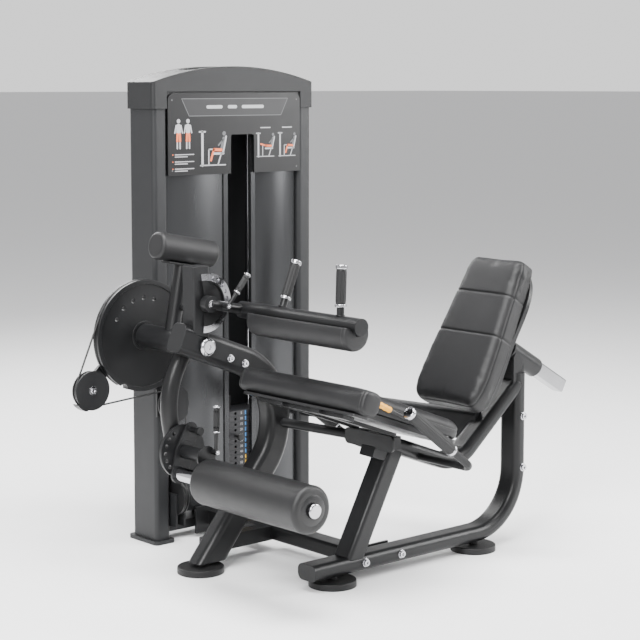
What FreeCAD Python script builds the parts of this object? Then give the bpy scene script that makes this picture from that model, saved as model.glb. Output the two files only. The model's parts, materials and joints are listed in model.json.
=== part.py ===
import FreeCAD, Part
import Sketcher
import math
import os
import re
import types

# Selectorised leg extension and leg curl machine, in millimetres.
# X runs from the lever's swing side to the backrest, Y from the seat to the weight tower, Z up.
# The origin is on the floor, at the centre of the main frame's foot pad, under the main pivot.

V = FreeCAD.Vector
AXIS_X, AXIS_Y, AXIS_Z = V(1, 0, 0), V(0, 1, 0), V(0, 0, 1)
ALONG_Y = FreeCAD.Rotation(AXIS_X, -90)
ALONG_Z = FreeCAD.Rotation()

SIZES = {
    # fits and gaps
    "running_gap": 0.05,
    "loose_gap": 1.0,
    # main pivot and main frame
    "pivot_z": 707,
    "shaft_rad": 20,
    "beam_depth": 90,
    "beam_width": 70,
    "beam_round": 22,
    "beam_slope": 21,
    "beam_nose": 92,
    "bend_rad": 215,
    "bend_reach": 298,
    "pad_rad": 73,
    "pad_thick": 20,
    "stud_rad": 15,
    "stud_high": 12,
    "cap_rad": 28,
    "cap_thick": 13,
    # lever arm
    "arm_tube_rad": 27,
    "arm_plane": 64,
    "sleeve_rad": 38,
    "sleeve_end": 280,
    "elbow_x": -82,
    "elbow_z": 556,
    "elbow_rad": 260,
    "ankle_x": -49,
    "ankle_z": 383,
    "disc_rad": 82,
    "disc_thick": 10,
    "peg_hole_rad": 6,
    "peg_ring_rad": 66,
    "weight_lean": 11,
    "weight_reach": 285,
    "weight_rad": 43,
    "weight_long": 226,
    "post_rad": 24,
    "post_plane": 145,
    "spindle_rad": 12,
    # ankle roll
    "roll_x": -70,
    "roll_z": 317,
    "roll_rad": 70,
    "roll_near": -122,
    "roll_long": 485,
    "core_rad": 24,
    "axle_rad": 14,
    "cheek_thick": 8,
    "hub_rad": 17,
    "knob_rad": 13,
    # cam and cable
    "cam_rad": 178,
    "cam_thick": 26,
    "cable_plane": 297,
    "cable_rad": 3,
    "groove_deep": 7,
    "pulley_thick": 22,
    "idler_x": -201,
    "idler_z": 553,
    "idler_rad": 55,
    "exit_z": 470,
    "exit_rad": 50,
    "rise_x": 170,
    "low_pulley_z": 150,
    "top_pulley_z": 1372,
    "top_pulley_rad": 50,
    # tower
    "tower_left": 85,
    "tower_right": 752,
    "tower_front": 345,
    "tower_deep": 135,
    "pillar_wide": 57,
    "base_flange": 12,
    "cover_low": 1422,
    "cover_side": 1508,
    "cover_top": 1560,
    "cover_lip": 6,
    "shroud_low": 92,
    "shroud_wall": 3,
    "shroud_bulge": 12,
    "window_left": 397,
    "window_right": 496,
    "placard_low": 1206,
    "placard_high": 1400,
    "placard_thick": 5,
    "placard_round": 24,
    "notch_high": 1335,
    # weight stack
    "stack_x": 437,
    "plate_wide": 290,
    "plate_deep": 96,
    "plate_thick": 18,
    "plate_pitch": 19,
    "plate_total": 16,
    "plates_up": 5,
    "stack_floor": 92,
    "rod_spread": 118,
    "rod_back": 26,
    "rod_rad": 10,
    "stem_rad": 11,
    "boot_rad": 14,
    "boot_high": 46,
    "pin_rad": 4.5,
    # thigh pad
    "thigh_x": -8,
    "thigh_z": 841,
    "post_wide": 60,
    "post_top": 953,
    "index_rad": 90,
    "thigh_arm_x": 128,
    "thigh_arm_z": 812,
    "thigh_tube_rad": 26,
    "thigh_near": -56,
    "thigh_far": -592,
    "thigh_pad_near": -130,
    "thigh_pad_far": -578,
    "thigh_pad_rad": 51,
    "thigh_drop": 22,
    "grip_rad": 15,
    # seat frame
    "seat_y": -375,
    "rail_width": 80,
    "rail_depth": 50,
    "rail_round": 20,
    "base_z": 57,
    "base_front": 108,
    "rear_x": 1006,
    "rear_bend": 190,
    "rear_top": 562,
    "support_top": 530,
    "front_pad_x": 211,
    "rear_pad_x": 822,
    "front_leg_x": 268,
    "front_leg_top_x": 452,
    "front_leg_top_z": 398,
    "dip_x": 722,
    "dip_z": 296,
    "dip_bend": 130,
    "carriage_x": 372,
    "carriage_z": 424,
    "cap_plate_wide": 213,
    "cap_plate_high": 50,
    "link_low_x": 350,
    "link_high_z": 400,
    # seat
    "seat_slope": 20,
    "seat_front_x": 112,
    "seat_front_z": 602,
    "knee_wide": 562,
    "knee_deep": 78,
    "knee_high": 76,
    "seat_wide": 400,
    "seat_long": 455,
    "seat_thick": 52,
    "board_thick": 16,
    # backrest
    "back_lean": 30,
    "back_low_x": 661,
    "back_low_z": 505,
    "back_high": 520,
    "back_wide": 300,
    "back_thick": 78,
    "back_board": 16,
    "slide_wide": 45,
    "slide_tail": 505,
    "socket_rad": 33,
    "socket_start": 206,
    "socket_long": 150,
}

doc = FreeCAD.newDocument("leg_extension_machine")
sheet = doc.addObject("Spreadsheet::Sheet", "Sizes")
for row, (word, value) in enumerate(SIZES.items(), start=1):
    sheet.set("A%d" % row, word)
    sheet.set("B%d" % row, str(value))
    sheet.setAlias("B%d" % row, word)
doc.recompute()
s = types.SimpleNamespace(**{word: float(sheet.get(word)) for word in SIZES})
NODES = []
WORD = re.compile(r"[a-z][a-z_]*[a-z]")


def formula(text):
    """A sheet expression, written with the sizes' own words."""
    return WORD.sub(lambda m: "Sizes." + m.group(0) if m.group(0) in SIZES else m.group(0), str(text))


def bind(item, **cells):
    for name, text in cells.items():
        item.setExpression(name, formula(text))


def place(item, at, turn):
    item.Placement = FreeCAD.Placement(V(0, 0, 0), turn)
    for axis, text in zip("xyz", at):
        item.setExpression(".Placement.Base." + axis, formula(text))


def box(name, size, at, turn=ALONG_Z):
    item = doc.addObject("Part::Box", name)
    bind(item, Length=size[0], Width=size[1], Height=size[2])
    place(item, at, turn)
    return item


def rod(name, radius, length, at, turn=ALONG_Y):
    item = doc.addObject("Part::Cylinder", name)
    bind(item, Radius=radius, Height=length)
    place(item, at, turn)
    return item


def fuse(name, *pieces):
    item = doc.addObject("Part::MultiFuse", name)
    item.Shapes = list(pieces)
    item.Refine = True
    return item


def cut(name, base, *tools):
    item = doc.addObject("Part::Cut", name)
    item.Base = base
    item.Tool = tools[0] if len(tools) == 1 else fuse(name + "_tools", *tools)
    return item


def shaped(name, shape):
    item = doc.addObject("Part::Feature", name)
    item.Shape = shape
    return item


def node(item, label):
    item.Label = label
    NODES.append(item)
    return item


def together(name, label, *shapes):
    """One node of several separate solids."""
    solids = [solid for shape in shapes for solid in shape.Solids]
    return node(shaped(name, Part.makeCompound(solids)), label)


def cylinder(radius, length, at, way=AXIS_Y):
    return Part.makeCylinder(radius, length, at, way)


def tangent_path(points, y):
    """A wire of straight runs and tangent arcs through (x, z, bend radius) points, at one y."""
    ends = [V(x, y, z) for x, z, _ in points]
    edges = []
    start = ends[0]
    for before, corner, after, radius in zip(ends, ends[1:], ends[2:], [p[2] for p in points[1:]]):
        back = (before - corner).normalize()
        ahead = (after - corner).normalize()
        half = back.getAngle(ahead) / 2
        run = radius / math.tan(half)
        entry = corner + back * run
        leave = corner + ahead * run
        middle = corner + (back + ahead).normalize() * (radius / math.sin(half) - radius)
        edges.append(Part.LineSegment(start, entry).toShape())
        edges.append(Part.Arc(entry, middle, leave).toShape())
        start = leave
    edges.append(Part.LineSegment(start, ends[-1]).toShape())
    return Part.Wire(edges)


def rounded_outline(wide, high, radius):
    """A rounded rectangle in the XY plane, centred on the origin."""
    half_wide, half_high = wide / 2, high / 2
    corners = [(1, 1, 0), (-1, 1, 90), (-1, -1, 180), (1, -1, 270)]
    edges = []
    for sign_x, sign_y, first in corners:
        centre = V(sign_x * (half_wide - radius), sign_y * (half_high - radius), 0)
        turn = [math.radians(first + step) for step in (0, 45, 90)]
        edges.append([centre + V(math.cos(a), math.sin(a), 0) * radius for a in turn])
    lines = []
    for here, following in zip(edges, edges[1:] + edges[:1]):
        lines.append(Part.Arc(*here).toShape())
        lines.append(Part.LineSegment(here[2], following[0]).toShape())
    return Part.Wire(lines)


def sweep_section(outline, path):
    """Carries an outline, drawn in XY with Y level, along a path in an XZ plane."""
    start = path.Edges[0]
    at = start.valueAt(start.FirstParameter)
    ahead = start.tangentAt(start.FirstParameter)
    level = AXIS_Y
    across = level.cross(ahead)
    outline.Placement = FreeCAD.Placement(at, FreeCAD.Rotation(across, level, ahead, "ZXY"))
    return Part.Wire(path.Edges).makePipeShell([outline], True, False)


def tube(points, y, wide, deep, radius):
    return sweep_section(rounded_outline(deep, wide, radius), tangent_path(points, y))


def round_tube(points, y, radius):
    return sweep_section(Part.Wire(Part.makeCircle(radius)), tangent_path(points, y))


def slab(outline, thick, at, turn=None):
    """A plate: an outline in XY made solid along Z, then placed."""
    solid = Part.Face(outline).extrude(V(0, 0, thick))
    solid.Placement = FreeCAD.Placement(at, turn or ALONG_Z)
    return solid


UPRIGHT = FreeCAD.Rotation(AXIS_X, 90)


def hull_outline(circles):
    """The belt line round a row of (x, z, radius) circles, drawn in XY."""
    shapes = [Part.Face(Part.Wire(Part.makeCircle(r, V(x, z, 0)))) for x, z, r in circles]
    for (x0, z0, r0), (x1, z1, r1) in zip(circles, circles[1:]):
        gap = math.hypot(x1 - x0, z1 - z0)
        heading = math.atan2(z1 - z0, x1 - x0)
        spread = math.acos((r0 - r1) / gap)
        ends = []
        for x, z, r, side in ((x0, z0, r0, 1), (x1, z1, r1, 1), (x1, z1, r1, -1), (x0, z0, r0, -1)):
            angle = heading + side * spread
            ends.append(V(x + r * math.cos(angle), z + r * math.sin(angle), 0))
        shapes.append(Part.Face(Part.makePolygon(ends + ends[:1])))
    return shapes[0].fuse(shapes[1:]).removeSplitter()


def upright_plate(face, thick, y):
    """A plate drawn in XY, stood up in XZ, from y to y + thick."""
    solid = face.extrude(V(0, 0, thick))
    solid.Placement = FreeCAD.Placement(V(0, y + thick, 0), UPRIGHT)
    return solid


# ---------------------------------------------------------------- main frame

slope = math.radians(s.beam_slope)
bend_x = s.bend_reach - s.bend_rad
bend_z = s.pivot_z - (s.bend_rad + math.sin(slope) * bend_x) / math.cos(slope)
foot_z = s.pad_thick + s.stud_high
half_beam = s.beam_width / 2


def main_beam_shape():
    """Nose, straight run through the pivot, big bend and the leg down to the foot."""
    nose = V(-s.beam_nose * math.cos(slope), 0, s.pivot_z + s.beam_nose * math.sin(slope))
    top = V(bend_x + s.bend_rad * math.sin(slope), 0, bend_z + s.bend_rad * math.cos(slope))
    reach = math.hypot(bend_x, bend_z)
    leg_angle = math.atan2(bend_z, bend_x) - math.asin(s.bend_rad / reach)
    low = V(bend_x + s.bend_rad * math.sin(leg_angle), 0, bend_z - s.bend_rad * math.cos(leg_angle))
    far = V(s.bend_reach, 0, bend_z)
    foot = V(-math.cos(leg_angle), 0, -math.sin(leg_angle)) * s.beam_depth
    path = Part.Wire([
        Part.LineSegment(nose, top).toShape(),
        Part.Arc(top, far, low).toShape(),
        Part.LineSegment(low, foot).toShape(),
    ])
    beam = sweep_section(rounded_outline(s.beam_depth, s.beam_width, s.beam_round), path)
    floor = Part.makeBox(900, 200, 300, V(-500, -100, foot_z - 300))
    bore = cylinder(s.shaft_rad + s.running_gap, 200, V(0, -100, s.pivot_z))
    return beam.cut(floor).cut(bore)


main_beam = node(shaped("MainBeam", main_beam_shape()), "main_beam")


def foot_pads_shape():
    pads = []
    for x, y in ((0, 0), (s.front_pad_x, s.seat_y), (s.rear_pad_x, s.seat_y)):
        disc = Part.makeCylinder(s.pad_rad, s.pad_thick, V(x, y, 0))
        rim = [e for e in disc.Edges if e.BoundBox.ZMin > s.pad_thick - 1 and e.BoundBox.XLength > 1]
        disc = disc.makeFillet(4, rim)
        stud = Part.makeCylinder(s.stud_rad, s.stud_high, V(x, y, s.pad_thick))
        pads.append(disc.fuse(stud).removeSplitter())
    return Part.makeCompound(pads)


node(shaped("FootPads", foot_pads_shape()), "foot_pads")


def thigh_post_shape():
    low = s.pivot_z - 20
    post = Part.makeBox(s.post_wide, s.post_wide, s.post_top - low, V(s.thigh_x - 38, -half_beam, low))
    post = post.makeFillet(7, [e for e in post.Edges if e.BoundBox.ZLength > 100])
    bore = cylinder(s.hub_rad + s.running_gap, 200, V(s.thigh_x, -100, s.thigh_z))
    whole = Part.makeBox(400, 200, s.pivot_z, V(-200, -100, 0))
    return post.cut(main_beam.Shape).cut(whole).cut(bore).Solids[0]


post_solids = thigh_post_shape()
node(shaped("ThighPost", post_solids), "thigh_post")


def half_disc(radius, inner, first, last):
    """A fan of a disc between two angles, drawn in XY about the thigh pivot."""
    outer = Part.makeCylinder(radius, 1, V(0, 0, 0), AXIS_Z, last - first)
    hollow = Part.makeCylinder(inner, 3, V(0, 0, -1))
    fan = outer.cut(hollow)
    fan.rotate(V(0, 0, 0), AXIS_Z, first)
    face = [f for f in fan.Faces if abs(f.CenterOfMass.z) < 1e-6][0]
    return face.translated(V(s.thigh_x, s.thigh_z, 0))


plate_y = -half_beam - s.cheek_thick
fan_plate = upright_plate(half_disc(s.index_rad, s.hub_rad + s.running_gap, -95, 100), s.cheek_thick, plate_y)


def thigh_index_ring_shape():
    ring_face = half_disc(s.index_rad + 4, s.index_rad - 24, -5, 78)
    plate = upright_plate(ring_face, 5, plate_y - 5)
    middle = s.index_rad - 10
    for angle in range(8, 78, 16):
        x = s.thigh_x + middle * math.cos(math.radians(angle))
        z = s.thigh_z + middle * math.sin(math.radians(angle))
        plate = plate.cut(cylinder(s.peg_hole_rad, 20, V(x, plate_y - 10, z)))
    return plate


together("ThighIndexPlate", "thigh_index_plate", fan_plate, thigh_index_ring_shape())

# ---------------------------------------------------------------- seat frame


def rail(points):
    return tube(points, s.seat_y, s.rail_width, s.rail_depth, s.rail_round)


base_points = [
    (s.base_front, s.base_z, 0),
    (s.rear_x, s.base_z, s.rear_bend),
    (s.rear_x, s.rear_top, 0),
]
base_rail = node(shaped("BaseRail", rail(base_points)), "base_rail")

dip_path = [
    (s.carriage_x + 20, s.carriage_z - 4, 0),
    (s.dip_x, s.dip_z, s.dip_bend),
    (s.rear_x, s.support_top, 0),
]
seat_support = shaped("SeatSupportFull", rail(dip_path))
node(cut("SeatSupport", seat_support, base_rail), "seat_support")


def front_leg_shape():
    """The leg between the base rail and the seat support, mitred on both."""
    path = Part.Wire([Part.LineSegment(
        V(s.front_leg_x, s.seat_y, s.base_z), V(s.front_leg_top_x, s.seat_y, s.front_leg_top_z)
    ).toShape()])
    leg = sweep_section(rounded_outline(64, s.rail_width - 6, 14), path)
    leg = leg.cut(base_rail.Shape).cut(rail(dip_path))
    return max(leg.Solids, key=lambda part: part.Volume)


front_leg = front_leg_shape()
node(shaped("FrontLeg", front_leg), "front_leg")


def low_link_shape():
    """The floor-level tube from the main frame's leg to the base rail."""
    start = s.seat_y + s.rail_width / 2
    beam = Part.makeBox(70, -start + 40, 46, V(s.link_low_x - 35, start, s.base_z - 20))
    beam = beam.makeFillet(10, [e for e in beam.Edges if e.BoundBox.YLength > 100])
    flange = Part.makeBox(190, 8, 50, V(s.link_low_x - 60, start, s.base_z - 25))
    return beam.fuse(flange).removeSplitter()


def low_tie_shape():
    """The block that carries the floor-level tube across to the main leg and the tower."""
    start = 40
    width = s.link_low_x - 60
    tie = Part.makeBox(width, 46, 46, V(60, start, s.base_z - 20))
    reach = Part.makeBox(60, s.tower_front - start, 46, V(s.link_low_x - 60, start, s.base_z - 20))
    plate = Part.makeBox(160, 8, 90, V(s.link_low_x - 110, s.tower_front - 8, s.base_z - 45))
    return tie.fuse([reach, plate]).removeSplitter().cut(main_beam.Shape)


low_tie = max(low_tie_shape().Solids, key=lambda part: part.Volume)
together("FloorLinks", "floor_links", low_link_shape(), low_tie)


def high_link_shape():
    """The upper tube from the tower's far pillar to the seat support."""
    near = V(858, s.seat_y + 10, s.link_high_z)
    far = V(s.tower_right - 28, s.tower_front, s.link_high_z)
    ahead = far - near
    path = Part.Wire([Part.LineSegment(near, far + ahead.normalize() * 40).toShape()])
    outline = rounded_outline(50, 96, 12)
    outline.Placement = FreeCAD.Placement(near, FreeCAD.Rotation(AXIS_Z.cross(ahead), AXIS_Z, ahead, "ZXY"))
    beam = path.makePipeShell([outline], True, False)
    tower = Part.makeBox(900, 400, 1400, V(0, s.tower_front, 0))
    beam = beam.cut(tower).cut(rail(dip_path)).cut(base_rail.Shape)
    return max(beam.Solids, key=lambda part: part.Volume)


def brace_shape():
    """The round brace from the main frame's bend to the seat carriage."""
    near = V(s.carriage_x + 11, s.seat_y + s.cap_plate_wide / 2 - 16, s.carriage_z - 2)
    far = V(s.bend_reach + 6, -20, s.carriage_z + 10)
    way = far - near
    bar = Part.makeCylinder(15, way.Length, near, way)
    cleared = bar.cut([main_beam.Shape, carriage, front_plate, seat_rails, seat_spacer])
    return max(cleared.Solids, key=lambda part: part.Volume)


def front_plate_shape():
    """The rounded plate across the front of the seat carriage."""
    outline = rounded_outline(s.cap_plate_wide, s.cap_plate_high, 14)
    lying = FreeCAD.Rotation(AXIS_Y, AXIS_Z, AXIS_X, "ZXY")
    return slab(outline, 8, V(s.carriage_x - 14, s.seat_y, s.carriage_z), lying)


def carriage_shape():
    """The channel block behind the front plate that clamps on the seat support."""
    start = s.carriage_x - 6
    block = Part.makeBox(34, s.cap_plate_wide - 16, s.cap_plate_high - 10, V(
        start, s.seat_y - s.cap_plate_wide / 2 + 8, s.carriage_z - s.cap_plate_high / 2 + 5))
    return block.cut(rail(dip_path)).cut(front_leg)


front_plate = front_plate_shape()
carriage = carriage_shape()

# ---------------------------------------------------------------- seat

seat_turn = math.radians(s.seat_slope)
seat_along = V(math.cos(seat_turn), 0, -math.sin(seat_turn))
seat_up = V(math.sin(seat_turn), 0, math.cos(seat_turn))
seat_origin = V(s.seat_front_x, s.seat_y, s.seat_front_z)
SEAT_ROT = FreeCAD.Rotation(seat_along, AXIS_Y, seat_up, "ZXY")


def seat_block(long, wide, high, along, lift, radius):
    """A block on the seat's slope: from along to along + long, its underside at lift."""
    block = Part.makeBox(long, wide, high, V(along, -wide / 2, lift))
    if radius:
        block = block.makeFillet(radius, [e for e in block.Edges if e.BoundBox.ZLength > high * 0.9])
    block.Placement = FreeCAD.Placement(seat_origin, SEAT_ROT)
    return block


def knee_roll_shape():
    roll = Part.makeBox(s.knee_deep, s.knee_wide, s.knee_high, V(
        -s.knee_deep / 2, -s.knee_wide / 2, -s.knee_high / 2))
    roll = roll.makeFillet(26, [e for e in roll.Edges if e.BoundBox.YLength > s.knee_wide * 0.9])
    roll = roll.makeFillet(8, [e for e in roll.Edges if e.BoundBox.YLength < 1])
    roll.Placement = FreeCAD.Placement(seat_origin, SEAT_ROT)
    return roll


node(shaped("KneeRoll", knee_roll_shape()), "knee_roll")
pad_start = s.knee_deep / 2 + s.loose_gap
pad_low = s.knee_high / 2 - s.seat_thick - 4
seat_cushion = seat_block(s.seat_long, s.seat_wide, s.seat_thick, pad_start, pad_low, 42)
node(shaped("SeatCushion", seat_cushion), "seat_cushion")
board_low = pad_low - s.board_thick
seat_board = seat_block(s.seat_long - 14, s.seat_wide - 16, s.board_thick, pad_start, board_low, 36)
knee_board = seat_block(s.knee_deep - 16, s.knee_wide - 60, 8, -s.knee_deep / 2 + 8, -s.knee_high / 2 - 8, 10)
together("SeatBoards", "seat_boards", seat_board, knee_board)


def seat_rails_shape():
    """Two runners and a cross bar between the boards and the carriage."""
    bars = []
    for side in (-1, 1):
        bar = Part.makeBox(330, 34, 12, V(-s.knee_deep / 2 + 12, side * 82 - 17, -s.knee_high / 2 - 20))
        bars.append(bar)
    cross = Part.makeBox(44, s.knee_wide - 180, 12, V(-14, -s.knee_wide / 2 + 90, -s.knee_high / 2 - 20))
    shape = bars[0].fuse([bars[1], cross]).removeSplitter()
    shape.Placement = FreeCAD.Placement(seat_origin, SEAT_ROT)
    return shape.cut([seat_board, front_plate, carriage])


seat_rails = seat_rails_shape()


def seat_spacer_shape():
    """The pedestal between the runners and the seat support tube."""
    pillar = Part.makeBox(110, 60, 74, V(298, -30, -s.knee_high / 2 - 94))
    pillar.Placement = FreeCAD.Placement(seat_origin, SEAT_ROT)
    cleared = pillar.cut([seat_rails, seat_board, rail(dip_path), front_leg, carriage, front_plate])
    for part in sorted(cleared.Solids, key=lambda solid: -solid.BoundBox.ZMax):
        if part.Volume > 1e4:
            return part


seat_spacer = seat_spacer_shape()
together("SeatCarriage", "seat_carriage", carriage, front_plate, seat_rails, seat_spacer)
together("CrossLinks", "cross_links", high_link_shape(), brace_shape())


def side_handle(side):
    """A bent rod from the seat support: across, then up and forward beside the seat."""
    start = V(540, s.seat_y + side * s.rail_width / 2, 352)
    corner = V(540, s.seat_y + side * 262, 352)
    tip = V(272, s.seat_y + side * 262, 556)
    back = (start - corner).normalize()
    ahead = (tip - corner).normalize()
    entry = corner + back * 34
    leave = corner + ahead * 34
    middle = corner + (back + ahead).normalize() * 14
    path = Part.Wire([
        Part.LineSegment(start, entry).toShape(),
        Part.Arc(entry, middle, leave).toShape(),
        Part.LineSegment(leave, corner + ahead * 117).toShape(),
    ])
    section = Part.Wire(Part.makeCircle(12, start, entry - start))
    bar = path.makePipeShell([section], True, False)
    grip = Part.makeCylinder(s.grip_rad + 3, 206, corner + ahead * 118, ahead)
    cap = Part.makeCylinder(s.grip_rad + 5, 14, corner + ahead * 324, ahead)
    cap = cap.makeFillet(5, [cap.Edges[0]])
    return bar, grip, cap


left_handle, right_handle = side_handle(-1), side_handle(1)
support_shape = rail(dip_path)
for rod_made, grip_made, cap_made in (left_handle, right_handle):
    side = "Near" if cap_made.BoundBox.Center.y < s.seat_y else "Far"
    label = side.lower() + "_side_handle"
    together(side + "SideHandle", label, rod_made.cut(support_shape), grip_made, cap_made)

# ---------------------------------------------------------------- backrest

lean = math.radians(s.back_lean)
back_away = V(math.cos(lean), 0, -math.sin(lean))
back_up = V(math.sin(lean), 0, math.cos(lean))
BACK_ROT = FreeCAD.Rotation(back_away, AXIS_Y, back_up, "ZXY")
back_origin = V(s.back_low_x, s.seat_y, s.back_low_z)
BACK = FreeCAD.Placement(back_origin, BACK_ROT)
mast_high = s.back_high * 0.53


def back_outline():
    """The backrest's face: widest a fifth of the way up, narrower at the top."""
    half, high = s.back_wide / 2, s.back_high
    pts = [(0.80, 0.012), (0.93, 0.06), (1.0, 0.2), (0.95, 0.5), (0.77, 0.95), (0.62, 1.0)]
    right = [V(x * half, y * high, 0) for x, y in pts]
    left = [V(-p.x, p.y, 0) for p in reversed(right)]
    side_a = Part.BSplineCurve()
    side_a.interpolate(right)
    side_b = Part.BSplineCurve()
    side_b.interpolate(left)
    top = Part.Arc(right[-1], V(0, high * 1.01, 0), left[0])
    foot = Part.Arc(left[-1], V(0, 0, 0), right[0])
    return Part.Wire([side_a.toShape(), top.toShape(), side_b.toShape(), foot.toShape()])


def back_slab(start, thick, scale):
    outline = back_outline()
    if scale != 1:
        outline.scale(scale, V(0, s.back_high / 2, 0))
    standing = FreeCAD.Rotation(AXIS_Y, AXIS_Z, AXIS_X, "ZXY")
    solid = slab(outline, thick, V(start, 0, 0), standing)
    solid.Placement = BACK.multiply(solid.Placement)
    return solid


back_cushion = back_slab(0, s.back_thick, 1)
node(shaped("BackCushion", back_cushion), "back_cushion")
node(shaped("BackBoard", back_slab(s.back_thick, s.back_board, 0.9)), "back_board")
tail_start = s.back_thick + s.back_board


def square_bar(start, length, wide, radius):
    outline = rounded_outline(wide, wide, radius)
    lying = FreeCAD.Rotation(AXIS_Y, AXIS_Z, AXIS_X, "ZXY")
    solid = slab(outline, length, V(start, 0, mast_high), lying)
    solid.Placement = BACK.multiply(solid.Placement)
    return solid


node(shaped("BackSlide", square_bar(tail_start, s.slide_tail - tail_start, s.slide_wide, 5)), "back_slide")


def back_socket_shape():
    barrel = Part.makeCylinder(s.socket_rad, s.socket_long, V(s.socket_start, 0, mast_high), AXIS_X)
    barrel.Placement = BACK.multiply(barrel.Placement)
    hole_wide = s.slide_wide + 2 * s.running_gap
    hole = square_bar(s.socket_start - 5, s.socket_long + 10, hole_wide, 5)
    return barrel.cut(hole)


back_socket = back_socket_shape()


def socket_gusset_shape():
    """The web that joins the socket to the top of the rear post, with a cheek on each side."""
    centre = BACK.multVec(V(s.socket_start + s.socket_long / 2, 0, mast_high))
    web = Part.makeBox(s.rail_depth, 50, 60, V(s.rear_x - s.rail_depth / 2, s.seat_y - 25, s.rear_top))
    parts = [web]
    for side in (-1, 1):
        pts = [(centre.x - 70, centre.z + 14), (centre.x - 52, centre.z + 40), (centre.x - 26, centre.z - 4),
               (s.rear_x - 12, s.rear_top - 24), (s.rear_x - 34, s.rear_top - 34)]
        y = s.seat_y + side * 29 - 4
        wire = Part.makePolygon([V(x, y, z) for x, z in pts + pts[:1]])
        parts.append(Part.Face(wire).extrude(V(0, 8, 0)))
    slide_room = square_bar(s.socket_start - 5, s.socket_long + 10, s.slide_wide + 1, 5)
    shape = parts[0].fuse(parts[1:]).removeSplitter().cut(back_socket.fuse(slide_room))
    return shape.cut([base_rail.Shape, rail(dip_path)])


gusset = socket_gusset_shape()
together("BackSocket", "back_socket", back_socket, min(gusset.Solids, key=lambda part: part.BoundBox.ZMin))

# ---------------------------------------------------------------- lever arm

pivot_gap = s.shaft_rad + s.running_gap


def arm_tube_shape():
    """The curved tube from the pivot sleeve down to the boss of the ankle disc."""
    points = [(0, s.pivot_z, 0), (s.elbow_x, s.elbow_z, s.elbow_rad), (s.ankle_x, s.ankle_z, 0)]
    bar = round_tube(points, s.arm_plane, s.arm_tube_rad)
    start = half_beam + s.loose_gap
    sleeve = cylinder(s.sleeve_rad, s.sleeve_end - start, V(0, start, s.pivot_z))
    boss_start = s.arm_plane - s.arm_tube_rad - 6
    boss = cylinder(32, 2 * s.arm_tube_rad + 6, V(s.ankle_x, boss_start, s.ankle_z))
    shape = bar.fuse([sleeve, boss]).removeSplitter()
    shape = shape.cut(cylinder(pivot_gap, 600, V(0, -50, s.pivot_z)))
    return shape.cut(cylinder(s.spindle_rad + s.running_gap, 200, V(s.ankle_x, -50, s.ankle_z)))


arm_tube = arm_tube_shape()
node(shaped("ArmTube", arm_tube), "arm_tube")
disc_y = s.arm_plane - s.arm_tube_rad - 6 - s.disc_thick


def ankle_disc_shape():
    disc = cylinder(s.disc_rad, s.disc_thick, V(s.ankle_x, disc_y, s.ankle_z))
    disc = disc.cut(cylinder(s.spindle_rad + s.running_gap, 40, V(s.ankle_x, disc_y - 10, s.ankle_z)))
    for angle in range(120, 241, 20):
        x = s.ankle_x + s.peg_ring_rad * math.cos(math.radians(angle))
        z = s.ankle_z + s.peg_ring_rad * math.sin(math.radians(angle))
        disc = disc.cut(cylinder(s.peg_hole_rad, 40, V(x, disc_y - 10, z)))
    return disc


node(shaped("AnkleDisc", ankle_disc_shape()), "ankle_disc")

weight_turn = math.radians(s.weight_lean)
weight_way = V(math.sin(weight_turn), 0, math.cos(weight_turn))
weight_flat = V(math.cos(weight_turn), 0, -math.sin(weight_turn))
weight_centre = V(0, s.post_plane, s.pivot_z) + weight_way * s.weight_reach


def weight_post_shape():
    foot = V(0, s.post_plane, s.pivot_z)
    bar = Part.makeCylinder(s.post_rad, s.weight_reach - s.weight_rad - 5, foot, weight_way)
    flange = Part.makeBox(130, 44, 6, V(-65, -22, s.weight_reach - s.weight_rad - 6))
    flange.Placement = FreeCAD.Placement(foot, FreeCAD.Rotation(weight_flat, AXIS_Y, weight_way, "ZXY"))
    shape = bar.fuse(flange).removeSplitter()
    return max(shape.cut(arm_tube).Solids, key=lambda part: part.CenterOfMass.z)


weight_post = weight_post_shape()
node(shaped("WeightPost", weight_post), "counterweight_post")


def counterweight_shape():
    start = weight_centre - weight_flat * (s.weight_long / 2)
    drum = Part.makeCylinder(s.weight_rad, s.weight_long, start, weight_flat)
    drum = drum.makeFillet(12, [e for e in drum.Edges if e.Closed])
    return drum.cut(weight_post)


node(shaped("Counterweight", counterweight_shape()), "counterweight")

# ---------------------------------------------------------------- cam and main shaft

cam_y = s.cable_plane - s.cam_thick / 2
rear_plate_y = cam_y + s.cam_thick + 6


def cam_shape():
    """A grooved disc with a weight-saving notch in its rim."""
    disc = cylinder(s.cam_rad, s.cam_thick, V(0, cam_y, s.pivot_z))
    groove = Part.makeTorus(s.cam_rad + 3, s.groove_deep, V(0, s.cable_plane, s.pivot_z), AXIS_Y)
    notch_at = math.radians(243)
    notch = cylinder(15, 60, V(
        s.cam_rad * 1.02 * math.cos(notch_at), cam_y - 10, s.pivot_z + s.cam_rad * 1.02 * math.sin(notch_at)))
    disc = disc.cut([groove, notch])
    recess = cylinder(s.cam_rad - 14, 4, V(0, cam_y - 1, s.pivot_z)).cut(
        cylinder(46, 8, V(0, cam_y - 2, s.pivot_z)))
    disc = disc.cut(recess)
    for angle in range(70, 151, 20):
        x = 120 * math.cos(math.radians(angle))
        z = s.pivot_z + 120 * math.sin(math.radians(angle))
        disc = disc.cut(cylinder(s.peg_hole_rad + 1, 80, V(x, cam_y - 20, z)))
    return disc.cut(cylinder(s.shaft_rad, 100, V(0, cam_y - 20, s.pivot_z)))


node(shaped("Cam", cam_shape()), "cam")


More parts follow.
